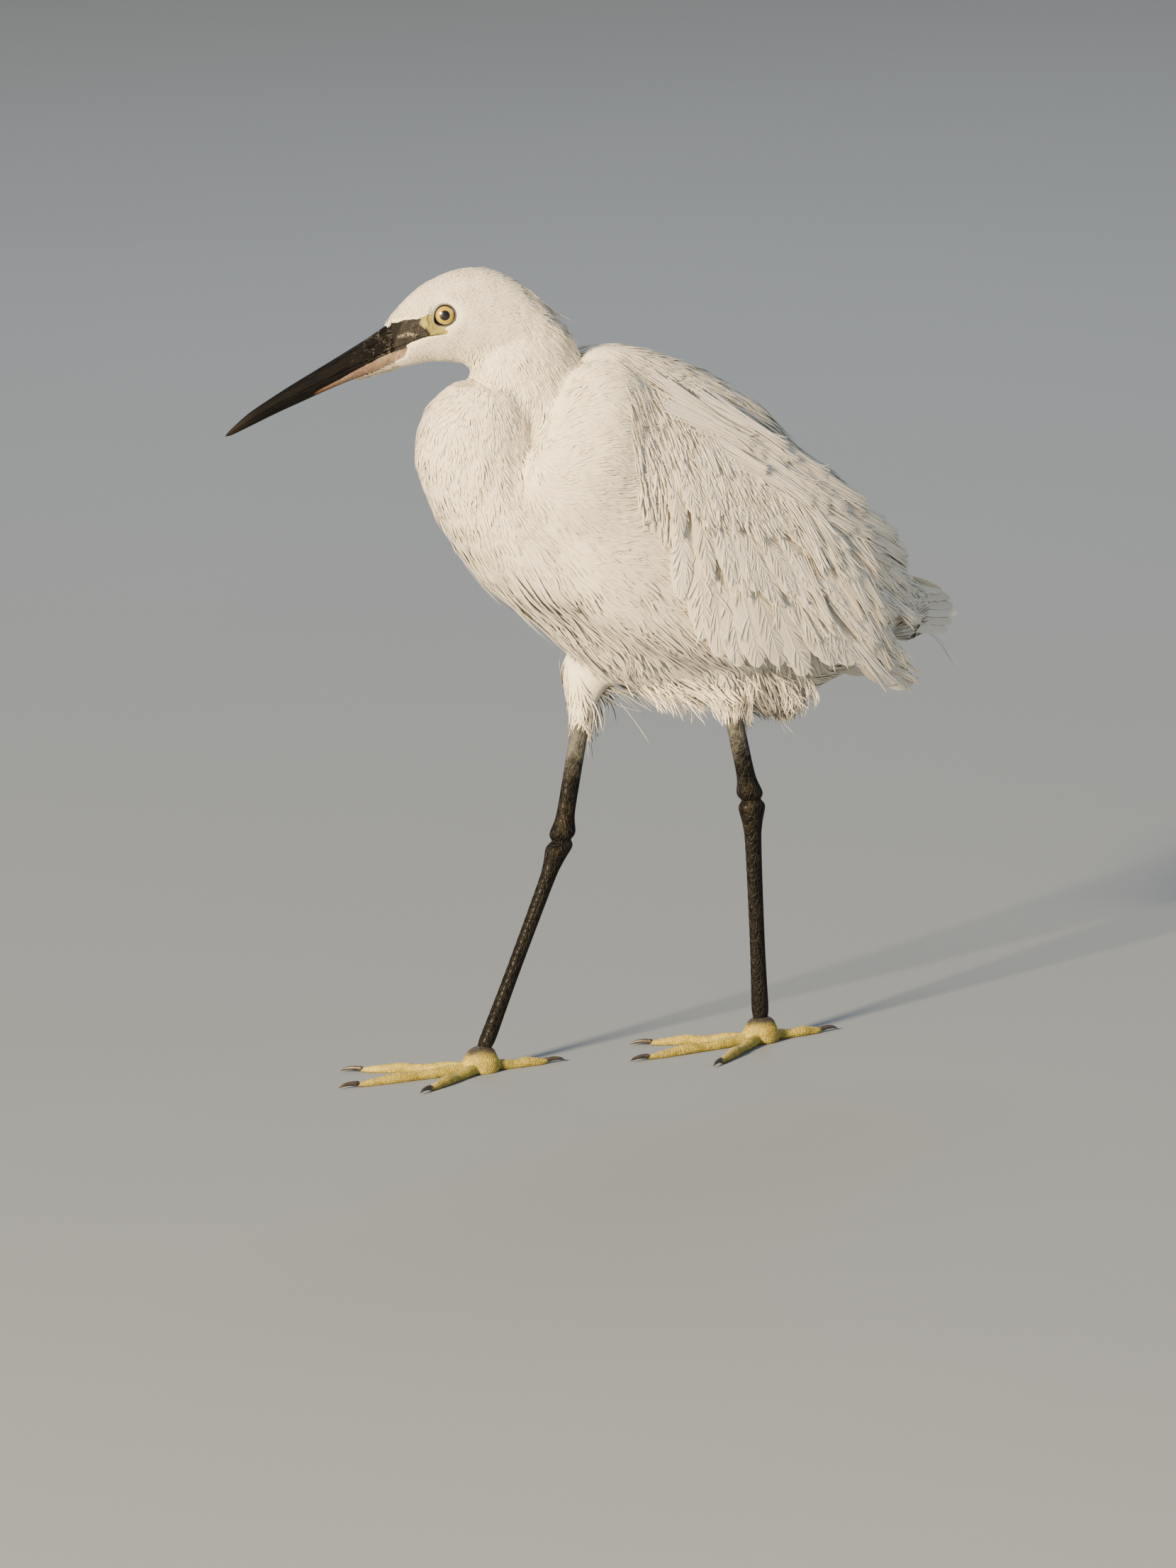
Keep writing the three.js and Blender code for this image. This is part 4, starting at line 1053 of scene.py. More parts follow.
    def barbs(self, name, random, line, ups, side, wide, share, uv, each, mirrored):
        """Loose barbs over a vane, from its shaft out to its edges and past its tip."""
        feather = np.repeat(np.arange(len(line)), each)
        hand = random.choice([-1.0, 1.0], len(feather))
        start = random.uniform(0.1, 0.93, len(feather))
        reach = np.minimum(random.uniform(0.1, 0.24, len(feather)), 1.045 - start)
        spread = random.uniform(0.25, 1.0, len(feather)) ** 0.6
        rows = []
        for t in np.linspace(0, 1, 5):
            at = start + reach * t
            kept = np.minimum(at, 1.0)
            step = np.interp(kept, share, np.arange(len(share)))
            first = np.minimum(step.astype(int), len(share) - 2)
            part = (step - first)[:, None]
            place = line[feather, first] * (1 - part) + line[feather, first + 1] * part
            onward = unit(line[feather, first + 1] - line[feather, first])
            width = np.interp(np.minimum(at, 0.93), share, wide[0] / wide[0].max())
            width = width * wide[feather].max(axis=1)
            length = np.linalg.norm(line[feather, -1] - line[feather, 0], axis=1)
            out = (hand * width * spread * t**0.8)[:, None]
            place = place + onward * ((at - kept) * length)[:, None] + side[feather, first] * out
            droop = VANE_CAMBER * (out / width[:, None]) ** 2
            rows.append(place - ups[feather, first] * droop + ups[feather, first] * 0.15)
        path = np.stack(rows, 1)
        up = np.repeat(ups[feather, VANE_POINTS // 2][:, None], 5, axis=1)
        if mirrored:
            path, up = path * [1, -1, 1], up * [1, -1, 1]
        self.tufts(name, random, path, up, uv[feather], random.uniform(0.7, 1.2, len(feather)),
                   np.full(len(feather), 0.25), sink=0.1, curl=0.08)

    def make(self, name, vertices, normals, quads, tris, across, along, uv, shade, kind):
        """Joined meshes of many copies of one pattern of faces."""
        each = 2 * len(quads) + len(tris)
        parts = int(np.ceil(len(vertices) * each / PIECE_LIMIT))
        for number, part in enumerate(np.array_split(np.arange(len(vertices)), parts)):
            count, size = len(part), vertices.shape[1]
            start = (np.arange(count) * size)[:, None, None]
            corners = [(np.array(faces)[None] + start).reshape(-1) for faces in (quads, tris) if faces]
            sizes = np.repeat([4, 3], [count * len(quads), count * len(tris)])
            index = np.concatenate(corners)
            mesh = bpy.data.meshes.new(name)
            mesh.vertices.add(count * size)
            mesh.vertices.foreach_set("co", row(vertices[part].reshape(-1, 3)).ravel())
            mesh.loops.add(len(index))
            mesh.loops.foreach_set("vertex_index", index)
            mesh.polygons.add(len(sizes))
            mesh.polygons.foreach_set("loop_start", np.concatenate([[0], np.cumsum(sizes)[:-1]]))
            mesh.update(calc_edges=True)
            attribute(mesh, "shade", np.repeat(shade[part], size))
            flat = np.stack([np.tile(across, count), np.tile(along, count)], 1)
            patch = np.repeat(uv[part], size, axis=0) + PATCH * (flat - 0.5)
            for layer, values in (("OFBake", patch), ("Lie", flat)):
                corner_values = values[index].astype(np.float32).ravel()
                mesh.uv_layers.new(name=layer).uv.foreach_set("vector", corner_values)
            finished(f"{name}_{number + 1}", mesh, PAINTS[kind])
            mesh.normals_split_custom_set_from_vertices(normals[part].reshape(-1, 3).tolist())


# Plumage

# Small tufts by length: the name, the shortest and the longest, the steps along each and how deep its root is
TUFT_KINDS = [
    ("down_face", 0, 4.5, 2, 0.3), ("down_neck", 4.5, 11.5, 3, 0.6), ("down_body", 11.5, 99, 5, 0.6),
]


def short_plumage(coat, skin):
    """The cover of small tufts over the head, neck and body."""
    random = np.random.default_rng(11)
    _, length, width, _ = coat.lie.at(skin.middles)
    head = to_head(skin.middles)
    flat = head[:, [0, 2]]
    density = LAYERS / (0.55 * length * width)
    near_head = (head[:, 0] > 20) & (head[:, 2] > 308)
    density[near_head & (depth_inside(flat, BARE_EDGE) > 0)] = 0
    density[near_head & (from_eye(flat) < LID_OUTER_EDGE)] = 0
    density[near_head & (head[:, 0] > 66) & (head[:, 2] > 317)] = 0
    x, y, z = skin.middles.T
    under_wing = (x < -2) & (np.abs(y) > 20) & (z < 262 + x * 0.45)
    under_wing &= z > np.interp(x, [-130, -60, -20, 10], [176, 182, 194, 216])
    density[under_wing] = 0
    roots = skin.scattered(random, density)
    _, length, width, lift = coat.lie.at(roots)
    length = length * random.uniform(0.75, 1.25, len(roots))
    width = width * random.uniform(0.75, 1.25, len(roots))
    for name, shortest, longest, steps, sink in TUFT_KINDS:
        chosen = (length >= shortest) & (length < longest)
        line, ups, uv = coat.lines(random, roots[chosen], length[chosen], steps)
        coat.tufts(name, random, line, ups, uv, width[chosen], lift[chosen], sink=sink)


def on_wing(x, z):
    """The outer skin of the folded left wing at x and z, which runs on smoothly past its edges."""
    centre, up, side = WING.axes(wing_share(x))
    side = -side
    height = (z - centre[:, 2] - side[:, 2]) / up[:, 2]
    return centre + up * height[:, None] + side * (1 - height**2 / 2)[:, None]


def wing_share(x):
    """The share at which the middle of the wing reaches x."""
    shares = np.linspace(1, 0, 400)
    return np.interp(x, WING.centre(shares)[:, 0], shares)


def lean_back(x):
    """How far the wing's feathers lean from upright, more and more to the rear."""
    return np.radians(60 * np.clip((18 - x) / 130, 0, 1))


def along_back(x):
    return np.full(len(x), math.radians(56))


def wing_lines(tips, lengths, rise, lean, points, base=-2.0, fan=0.0, skin=None, flip=1):
    """Lines of feathers from roots sunk in the wing to tips proud of it, or of the skin in front if given."""
    corners = [tips]
    for _ in range(5):
        angle = lean(corners[0][:, 0]) + fan
        corners.insert(0, corners[0] + (lengths / 5)[:, None] * np.stack([np.sin(angle), np.cos(angle)], 1))
    corners = np.stack(corners, 1)
    share = toward_tip(points)
    flat = np.stack([through(line, share) for line in corners])
    x, z = flat[..., 0].ravel(), flat[..., 1].ravel()
    forward = on_wing(x + 1, z) - on_wing(x - 1, z)
    normal = unit(np.cross(on_wing(x, z + 1) - on_wing(x, z - 1), forward)).reshape(*flat.shape[:2], 3)
    line = on_wing(x, z).reshape(*flat.shape[:2], 3)
    if skin:
        laid, found, _ = skin.nearest(line.reshape(-1, 3) * flip)
        front = smooth_step(-80, -20, x).reshape(*flat.shape[:2], 1)
        line = line + (((laid + found * SKIN_DEPTH) * flip).reshape(line.shape) - line) * front
        normal = unit(normal + ((found * flip).reshape(line.shape) - normal) * front)
    base = np.reshape(base, (-1, 1, 1))
    proud = base + (rise[:, None, None] - base) * share[None, :, None] ** 0.8
    return line + normal * proud, normal


def round_tip(share):
    tip = np.sqrt(np.clip(1 - ((share - 0.6) / 0.4) ** 2, 0, 1))
    return np.maximum(0.05, np.where(share < 0.6, 0.5 + share / 1.2, tip))


def pointed_tip(share):
    return np.maximum(0.05, np.where(share < 0.4, 0.6 + share, 1 - np.clip((share - 0.4) / 0.6, 0, 1) ** 1.4))


# Rows of wing feathers from the lowest to the uppermost: the x and z of their tips from front to rear, then
# their count, length, half width, how far the tips stand off, loose barbs each and how uneven the tips are
WING_ROWS = [
    ([(2, 197), (-14, 181), (-33, 176), (-56, 169.5), (-81, 170), (-99, 165), (-115, 155.5), (-127, 149)],
     12, 56, 8.0, 1.2, 26, 1.2),
    ([(15, 214), (-14, 212), (-30, 205), (-46, 199), (-67, 199), (-95, 190), (-115, 184), (-128, 175)],
     17, 44, 5.6, 1.7, 34, 2.6),
    ([(16, 239), (-4, 239.5), (-22, 238), (-40, 233), (-58, 227), (-80, 216), (-102, 203), (-121, 193)],
     19, 36, 5.0, 1.8, 34, 4.2),
]
SCAPULAR_TIPS = [(-30, 268), (-52, 254), (-70, 240), (-88, 226), (-105, 211), (-122, 196)]
PLUME_TIPS = [(-52, 186), (-70, 183), (-90, 178), (-108, 170), (-121, 160), (-130, 152)]

# Where along the wing the lowest and highest tips of the loose strands over its front are given
STRAND_PLACES = [-80, -50, -20, 20]


def hair(coat, skin, random, name, flip, tip, lengths, lean, lift, width, base, fan, shade):
    """Fine loose strands over the folded wing."""
    line, ups = wing_lines(tip, lengths, lift, lean, 6, base, fan, skin, flip)
    uv = skin.nearest(line[:, 0] * flip)[2]
    coat.tufts(name, random, line * flip, ups * flip, uv, width, np.full(len(tip), 0.3), sink=0.0,
               shade=shade)


def locks(coat, skin, random, name, flip, tips, each, lengths, lean, lifts, width, spread, fan):
    """Locks over the folded wing: strands that fan out at their roots and run together to a tip."""
    count = len(tips)
    span = np.repeat(random.uniform(*lengths, count), each)
    proud = np.repeat(random.uniform(*lifts, count), each)
    shade = np.clip(np.repeat(random.random(count), each) * 0.7 + random.random(count * each) * 0.3, 0, 1)
    turn = np.repeat(random.normal(0, 0.05, count), each) + random.normal(0, fan, count * each)
    tip = np.repeat(tips, each, axis=0) + random.normal(0, spread, (count * each, 2))
    span = span * random.uniform(0.75, 1.05, count * each)
    proud = proud + random.uniform(-0.3, 0.3, count * each)
    hair(coat, skin, random, name, flip, tip, span, lean, proud, random.uniform(*width, count * each), 0.8,
         turn, shade)


def wing_vanes(coat, skin, random, side):
    """The rows of broad feathers of a folded wing, and the narrow ones over its back and its rear end."""
    sign = SIDES[side]
    flip = np.array([1, sign, 1])
    for number, (tips, count, length, half, rise, barbed, uneven) in enumerate(WING_ROWS):
        share = ((np.arange(count) + 0.5 + random.uniform(-0.12, 0.12, count)) / count) ** 1.05
        tip = through(tips, share) + random.normal(0, 1, (count, 2)) * [0.8, uneven]
        lengths = length * random.uniform(0.95, 1.05, count)
        line, ups = wing_lines(tip, lengths, np.full(count, rise), lean_back, VANE_POINTS)
        uv = skin.nearest(line[:, 0] * flip)[2]
        halves = half * random.uniform(0.94, 1.06, count)
        roll = -4.5 + random.uniform(-1.5, 1.5, count)
        coat.vanes(f"vanes_{side}_{number + 1}", random, line, ups, uv, halves, roll, round_tip,
                   mirrored=sign < 0, barbed=barbed)
    for name, tips, count, length, lean, lift, half in (
            ("back", SCAPULAR_TIPS, 14, 55, along_back, 2.6, 3.6),
            ("low", PLUME_TIPS, 18, 46, lean_back, 2.4, 2.8)):
        tip = through(tips, (np.arange(count) + random.uniform(0.2, 0.8, count)) / count)
        tip += random.normal(0, 1.5, (count, 2))
        lengths = length * random.uniform(0.85, 1.15, count)
        rise = np.full(count, lift * BACK_LIFT[side])
        line, ups = wing_lines(tip, lengths, rise, lean, VANE_POINTS, skin=skin, flip=flip)
        uv = skin.nearest(line[:, 0] * flip)[2]
        halves = half * random.uniform(0.85, 1.15, count)
        roll = -4 + random.uniform(-2, 2, count)
        coat.vanes(f"vanes_{side}_{name}", random, line, ups, uv, halves, roll, pointed_tip,
                   mirrored=sign < 0, barbed=34)


def wing_strands(coat, skin, random, side):
    """The fine strands over the front of a folded wing, and the locks over its front, back and rear."""
    flip = np.array([1, SIDES[side], 1])
    count = 2100
    tip = np.stack([34 - 112 * random.random(count) ** 0.75, random.random(count)], 1)
    lowest = np.interp(tip[:, 0], STRAND_PLACES, [220, 230, 236, 238])
    lowest += 6 * drift(random, np.insert(tip * [1, 0], 1, 0, axis=1), 26)
    highest = np.interp(tip[:, 0], STRAND_PLACES, [234, 258, 284, 296])
    tip[:, 1] = lowest + (highest - lowest) * tip[:, 1] ** 0.9
    above = (tip[:, 1] - lowest) / (highest - lowest + 1)
    shade = 0.5 + 0.5 * drift(random, np.insert(tip, 1, 0, axis=1), 12) + random.normal(0, 0.15, count)
    fore = smooth_step(-30, 24, tip[:, 0])
    hair(coat, skin, random, f"hair_{side}_fore", flip, tip, random.uniform(13, 20, count), lean_back,
         2.2 - 1.0 * above - 1.7 * fore * (1 - 0.5 * above), random.uniform(0.8, 1.3, count),
         0.2 - 1.2 * above - 2.2 * fore, random.normal(0, 0.06, count), np.clip(shade, 0, 1))
    count = 42
    tip = np.stack([random.uniform(-70, -2, count), random.random(count)], 1)
    tip[:, 1] = np.interp(tip[:, 0], STRAND_PLACES, [216, 228, 234, 236]) + 26 * tip[:, 1]
    locks(coat, skin, random, f"locks_{side}_fore", flip, tip, 12, (15, 24), lean_back, (0.8, 1.9),
          (0.8, 1.3), 0.9, 0.12)
    count = 64
    tip = through(SCAPULAR_TIPS, random.random(count))
    tip += np.stack([random.normal(0, 6, count), random.uniform(-5, 10, count)], 1)
    lifts = (1.2 * BACK_LIFT[side], 3.6 * BACK_LIFT[side])
    locks(coat, skin, random, f"locks_{side}_back", flip, tip, 20, (30, 58), along_back, lifts, (0.8, 1.4),
          0.8, 0.05)
    count = 46
    tip = through([(-60, 214), (-84, 204), (-102, 190), (-122, 172)], random.random(count))
    tip += np.stack([random.normal(0, 6, count), random.uniform(-24, 12, count)], 1)
    locks(coat, skin, random, f"locks_{side}_rear", flip, tip, 18, (24, 46), lambda x: lean_back(x) * 0.8,
          (1.6, 4.0), (0.8, 1.3), 0.8, 0.07)


def wing_plumage(coat, skin):
    for side, seed in (("left", 3), ("right", 8)):
        random = np.random.default_rng(seed)
        wing_vanes(coat, skin, random, side)
        wing_strands(coat, skin, random, side)


def tail_plumage(coat, skin):
    """Six broad feathers on each side of the tail, folded like a roof."""
    random = np.random.default_rng(21)
    for side in (1, -1):
        pairs = 6
        out = (np.arange(pairs) + 0.5) / pairs
        zero = np.zeros(pairs)
        root = np.stack([zero - 104, side * 7 * out, 199 - 16 * out], 1)
        tip = np.stack([-147 - 6 * np.sin(math.pi * out ** 0.8), side * 8 * out, 189 - 20 * out], 1)
        tip[:, 0] += random.uniform(-1.5, 1.5, pairs)
        tilt = np.radians(52 + 30 * out)
        normal = unit(np.stack([zero - 0.2, side * np.sin(tilt), np.cos(tilt)], 1))
        share = toward_tip(VANE_POINTS)[None, :, None]
        line = root[:, None] * (1 - share) + tip[:, None] * share + np.array([0, 0, 5]) * share * (1 - share)
        ups = np.repeat(normal[:, None], VANE_POINTS, axis=1)
        uv = skin.nearest(root)[2]
        coat.vanes(f"tail_{'left' if side > 0 else 'right'}", random, line, ups, uv, np.full(pairs, 6.5),
                   np.full(pairs, -7.0 * side), tail_tip)


def tail_tip(share):
    return np.maximum(0.05, np.sqrt(np.clip(1 - ((share - 0.5) / 0.5) ** 2, 0, 1)) * (1 - 0.25 * share))


def fringes(coat, skin, random):
    """The plumes of the breast, the fringe of the belly, the tufts by the tail and the edge of the thighs."""
    x, y, z = skin.middles.T
    out = np.abs(y)

    def grown(name, where, density, length, width, lift, steps=6, **how):
        roots = skin.scattered(random, np.where(where, density, 0.0))
        count = len(roots)
        lengths = random.uniform(*length, count)
        line, ups, uv = coat.lines(random, roots, lengths, steps, **how)
        coat.tufts(name, random, line, ups, uv, random.uniform(*width, count), random.uniform(*lift, count),
                   facing=ups[:, 0] * [1, 1, 0] + [0.25, 0.1, 0.12] if "free" in how else None)

    breast = (x > 34) & (x < 92) & (z > 188) & (z < 238) & (out < 30)
    grown("plumes_breast", breast, 0.1, (32, 52), (0.8, 1.3), (1.0, 2.6), wander=0.06,
          target=np.array([24, -8, 152]), pull=0.45)
    flank = (x > -10) & (x < 60) & (z > 172) & (z < 215) & (out > 22)
    grown("plumes_flank", flank, 0.055, (24, 40), (0.8, 1.3), (1.0, 2.4), wander=0.06)
    belly = (x > -58) & (x < 34) & (z < 170) & (z > 151) & (out > 6) & (out < 38)
    grown("fringe", belly, 0.22, (12, 22), (0.4, 0.7), (0.3, 1.0), wander=0.16, free=0.8,
          target=np.array([-380.0, 0, -800]), pull=1.4)
    grown("fringe_fore", belly & (x > -14), 0.1, (18, 30), (0.35, 0.6), (0.3, 1.0), wander=0.16, free=0.85,
          target=np.array([-300.0, 0, -800]), pull=1.4)
    vent = (x > -66) & (x < -38) & (z < 164) & (out < 22)
    grown("tuft_rear", vent, 0.75, (15, 26), (0.4, 0.7), (0.6, 1.4), wander=0.12, free=0.85,
          target=np.array([-57.0, 0, 126]), pull=1.3)
    under_tail = (x < -84) & (z < 178)
    grown("tuft_tail", under_tail, 0.3, (14, 24), (0.6, 1.0), (0.4, 1.0), wander=0.1, free=0.4)
    for side, bare_z, thigh_x in (("left", 149, -34), ("right", 146, 31)):
        joint_x, joint_z = ANKLE[side]
        thigh = (z > bare_z - 4) & (z < bare_z + 7) & (y * SIDES[side] > 0) & (out < 20)
        thigh &= np.abs(x - thigh_x) < 12
        grown(f"edge_{side}", thigh, 1.1, (5, 9), (0.6, 0.9), (0.3, 0.8), steps=4, wander=0.12, free=0.8,
              target=np.array([joint_x, SIDES[side] * LEG_SPREAD, joint_z]), pull=1.6)


def wisps(coat, skin, random):
    """Single long strands at the nape, the tail, the rear tuft and the right thigh."""
    even = np.linspace(0, 1, 7)
    nape = [((6, y, 351.5), (-4, y * 1.1, 345), (-12, y, 337), (-18 - 7 * r, y * 0.6, 331.5 - 3 * r))
            for y, r in zip(random.uniform(0.5, 6, 16), random.random(16))]
    strands = [from_head(through(points, even)) for points in nape]
    strands += [through([(-124, y, 178), (-142, y * 1.1, 168), (-152, y * 1.2, 153)], even)
                for y in (2, 4, 6)]
    strands += [through([(-52, y, 153), (-62, y, 141), (-66 - y, y, 132)], even) for y in (1, 4)]
    strands += [through([(24, 14, 160), (17, 14, 150), (10.5, 13, 139.5)], even)]
    line = np.array(strands)
    ups = unit(np.cross([0.0, 1.0, 0.0], np.gradient(line, axis=1)))
    uv = skin.nearest(line[:, 0])[2]
    facing = np.array([0.3, 0.8, 0.4]) + 0 * line[:, 0]
    coat.tufts("wisps", random, line, ups, uv, random.uniform(0.35, 0.65, len(line)),
               np.full(len(line), 0.4), facing=facing)


def bill_tufts(coat, skin, random):
    """Tufts of the chin and the forehead that run out over the root of the bill."""
    chin, forehead = 700, 300
    count = chin + forehead
    reach = np.concatenate([random.uniform(58, 77, chin), random.uniform(56, 61.5, forehead)])
    angle = random.uniform(-1, 1, count)
    angle[:chin] = math.pi + angle[:chin] * np.interp(reach[:chin], [58, 77], [1.0, 0.35])
    angle[chin:] *= 0.32
    along = np.linspace(0, 1, 200)
    share = np.interp(reach, BILL.centre(along)[:, 0], along)
    root = BILL.point(share, angle)
    out_way = unit(root - BILL.centre(share))
    rise = np.where(np.arange(count) < chin, 0.1, 1.0)[:, None]
    way = unit(np.array([-1.0, 0, 0]) + rise * [0, 0, 1] + out_way * 0.12)
    lengths = random.uniform(2.4, 4.4, count)[:, None]
    line = np.stack([root + way * lengths * t for t in (0, 0.5, 1)], 1)
    ups = np.repeat(out_way[:, None], 3, axis=1)
    line = from_head(line.reshape(-1, 3)).reshape(line.shape)
    ups = (from_head(ups.reshape(-1, 3)) - HEAD_PIVOT).reshape(ups.shape)
    uv = skin.nearest(line[:, 0])[2]
    coat.tufts("down_bill", random, line, ups, uv, random.uniform(0.5, 0.8, count),
               random.uniform(0.3, 0.9, count), sink=0.2)


def loose_plumage(coat, skin):
    random = np.random.default_rng(31)
    fringes(coat, skin, random)
    wisps(coat, skin, random)
    bill_tufts(coat, skin, random)


# Head pieces

def bill_pieces():
    """The two halves of the bill, parted along the mouth line."""
    for part, sign in (("upper", 1), ("lower", -1)):
        bm = bmesh.new()
        add_form(bm, BILL, 0, 96, 260)
        for vertex in bm.verts:
            vertex.co.z -= height_at(MOUTH_LINE, vertex.co.x)
        parting = bmesh.ops.bisect_plane(
            bm, geom=bm.verts[:] + bm.edges[:] + bm.faces[:], dist=1e-4,
            plane_co=(0, 0, sign * MOUTH_GAP / 2), plane_no=(0, 0, sign), clear_inner=True)
        edges = [e for e in parting["geom_cut"] if isinstance(e, bmesh.types.BMEdge)]
        bmesh.ops.holes_fill(bm, edges=edges, sides=0)
        bmesh.ops.triangulate(bm, faces=[f for f in bm.faces if len(f.verts) > 4])
        for vertex in bm.verts:
            vertex.co.z += height_at(MOUTH_LINE, vertex.co.x)
        bmesh.ops.recalc_face_normals(bm, faces=bm.faces)
        mesh = mesh_of(bm, part)
        points = mesh_points(mesh)
        x, y, z = points.T
        flat = points[:, [0, 2]]
        off_ridge = np.clip(np.abs(y) / 2, 0, 1)
        if sign > 0:
            nostril = gauss(from_stretch(flat, (62.2, 330), (70.4, 326.2)), 0.75)
            groove = gauss(from_stretch(flat, (68, 327.3), (100, 314.2)), 0.8)
            dent = (nostril + 0.35 * groove * np.clip((100 - x) / 30, 0, 1)) * off_ridge
        else:
            dent = 0.25 * gauss(from_stretch(flat, (80, 315.4), (112, 303.2)), 0.7) * off_ridge
        set_points(mesh, from_head(points - mesh_normals(mesh) * dent[:, None]))
        attribute(mesh, "along", np.clip((x - BILL_ROOT) / (BILL_TIP - BILL_ROOT), 0, 1))
        height = z - height_at(MOUTH_LINE, x)
        attribute(mesh, "around", height / np.interp(x, [BILL_ROOT, BILL_TIP], [15, 2]))
        strip = np.interp(x, [54, 66, 76, 84, 92], [1.1, 1.3, 2.0, 3.0, 3.2])
        attribute(mesh, "pink", smooth_step(-0.6, 0.8, -height - strip) * (1 - smooth_step(88, 104, x)))
        set_points(mesh, row(mesh_points(mesh)))
        finished(f"bill_{part}_horn", mesh, PAINTS[f"bill_{part}"], [f"bill_{part}"])


def eyes():
    """An eyeball and the lid round it on each side of the head."""
    for side, sign in SIDES.items():
        place = EYE_PLACE * [1, sign, 1]
        looks = eye_looks(sign)
        bm = bmesh.new()
        bmesh.ops.create_uvsphere(bm, u_segments=96, v_segments=64, radius=EYE_RADIUS)
        mesh = mesh_of(bm, "eye")
        ball = mesh_points(mesh)
        attribute(mesh, "out", np.where(ball[:, 1] * sign > 0, np.hypot(ball[:, 0], ball[:, 2]), 9))
        attribute(mesh, "ray", np.arctan2(ball[:, 2], np.abs(ball[:, 0])))
        set_points(mesh, row(from_head(ball @ looks + place)))
        finished(f"eyeball_{side}", mesh, PAINTS["eye"], [f"eye_{side}"])
        mesh = lid_ring()
        points, away, corner = lid_shape(mesh_points(mesh), sign)
        dark = 0.95 - 0.95 * smooth_step(-0.35, -0.1, away) + 0.6 * smooth_step(0.3, 0.45, away)
        attribute(mesh, "dark", dark + corner * 0.4)
        set_points(mesh, row(from_head(points @ looks + place)))
        if sign < 0:
            mesh.flip_normals()
        finished(f"lid_{side}", mesh, PAINTS["lid"])


def lid_ring():
    """A round ring, slightly flattened, that lies round the y axis."""
    bm = bmesh.new()
    for vertex in bmesh.ops.create_circle(bm, segments=14, radius=0.42)["verts"]:
        across, up = vertex.co.x, vertex.co.y
        vertex.co = (LID_RADIUS + across * 1.25, up, 0)
    bmesh.ops.spin(bm, geom=bm.verts[:] + bm.edges[:], cent=(0, 0, 0), axis=(0, 1, 0),
                   angle=2 * math.pi, steps=160, use_merge=True, use_duplicate=False)
    bmesh.ops.remove_doubles(bm, verts=bm.verts, dist=1e-4)
    bmesh.ops.recalc_face_normals(bm, faces=bm.faces)
    return mesh_of(bm, "lid")


def lid_shape(points, sign):
    """Lays the ring's points on the ball; also says how far out each is, and how near the front corner."""
    angle = np.arctan2(points[:, 2], points[:, 0])
    radius = np.hypot(points[:, 0], points[:, 2])
    corner = gauss(angle + 0.65, 0.45)
    wrinkle = 0.06 * np.sin(angle * 41 + 2 * np.sin(angle * 5)) * (radius > LID_RADIUS)
    points[:, [0, 2]] *= (1 + 0.17 * corner)[:, None]
    on_ball = np.sqrt(np.clip(EYE_RADIUS**2 - np.minimum(radius, LID_OUTER_EDGE) ** 2, 0, None))
    points[:, 1] = sign * (points[:, 1] + on_ball * 0.9 + 0.4 + wrinkle)
    return points, radius - LID_RADIUS, corner


# Legs and feet

def leg_pieces():
    """The shin and tarsus of each leg as one limb with scutes in front, and its foot."""
    for side, sign in SIDES.items():
        bm = bmesh.new()
        _, shin, tarsus = leg_forms(side)
        add_form(bm, shin, 0, 40, 120)
        add_form(bm, tarsus, 0, 40, 120)
        mesh = remeshed(bm, LIMB_VOXEL)
        eased(mesh, 6)
        points = mesh_points(mesh)
        joint_x, joint_z = ANKLE[side]
        foot_x, _ = foot_place(side)
        down = np.clip((joint_z - points[:, 2]) / (joint_z - FOOT_HEIGHT), 0, 1)
        front = points[:, 0] - (joint_x + (foot_x - joint_x) * down)
        scute = np.abs(np.sin(points[:, 2] * math.pi / 4.2)) ** 0.5
        plate = smooth_step(0.5, 2.0, front) * smooth_step(0.06, 0.2, down)
        points += mesh_normals(mesh) * (0.14 * plate * (scute - 0.5))[:, None]
        set_points(mesh, row(points))
        finished(f"leg_{side}", mesh, PAINTS["leg"], [f"shin_{side}", f"tarsus_{side}"])
        foot_pieces(side, sign)


def toe_form(length):
    """A toe with its knuckles and pads, whose sole the floor cuts flat."""
    knuckles = [(-0.04, 0.9), (0.12, 0.95), (0.3, 1.05), (0.48, 0.85), (0.66, 0.98), (0.82, 0.78), (1, 0.62)]
    sections = []
    for share, size in knuckles:
        radius = TOE_RADIUS * size
        centre = radius - TOE_SOLE_CUT + 2.4 * max(0, 1 - share / 0.22) ** 2
        x = share * length
        sections.append(((x, 0, centre + radius), (x, 0, centre - radius), radius * 1.05))
    return Form(sections)


def claw_form(length):
    root = length - 1
    return Form([
        ((root - 1.5, 0, 3), (root - 1.5, 0, 0.7), 1.05), ((root, 0, 3.1), (root, 0, 0.7), 1.05),
        ((root + CLAW_LENGTH * 0.4, 0, 3.1), (root + CLAW_LENGTH * 0.4, 0, 1.1), 0.85),
        ((root + CLAW_LENGTH * 0.75, 0, 2.3), (root + CLAW_LENGTH * 0.75, 0, 1), 0.5),
        ((root + CLAW_LENGTH, 0, 0.8), (root + CLAW_LENGTH, 0, 0.5), 0.12),
    ])


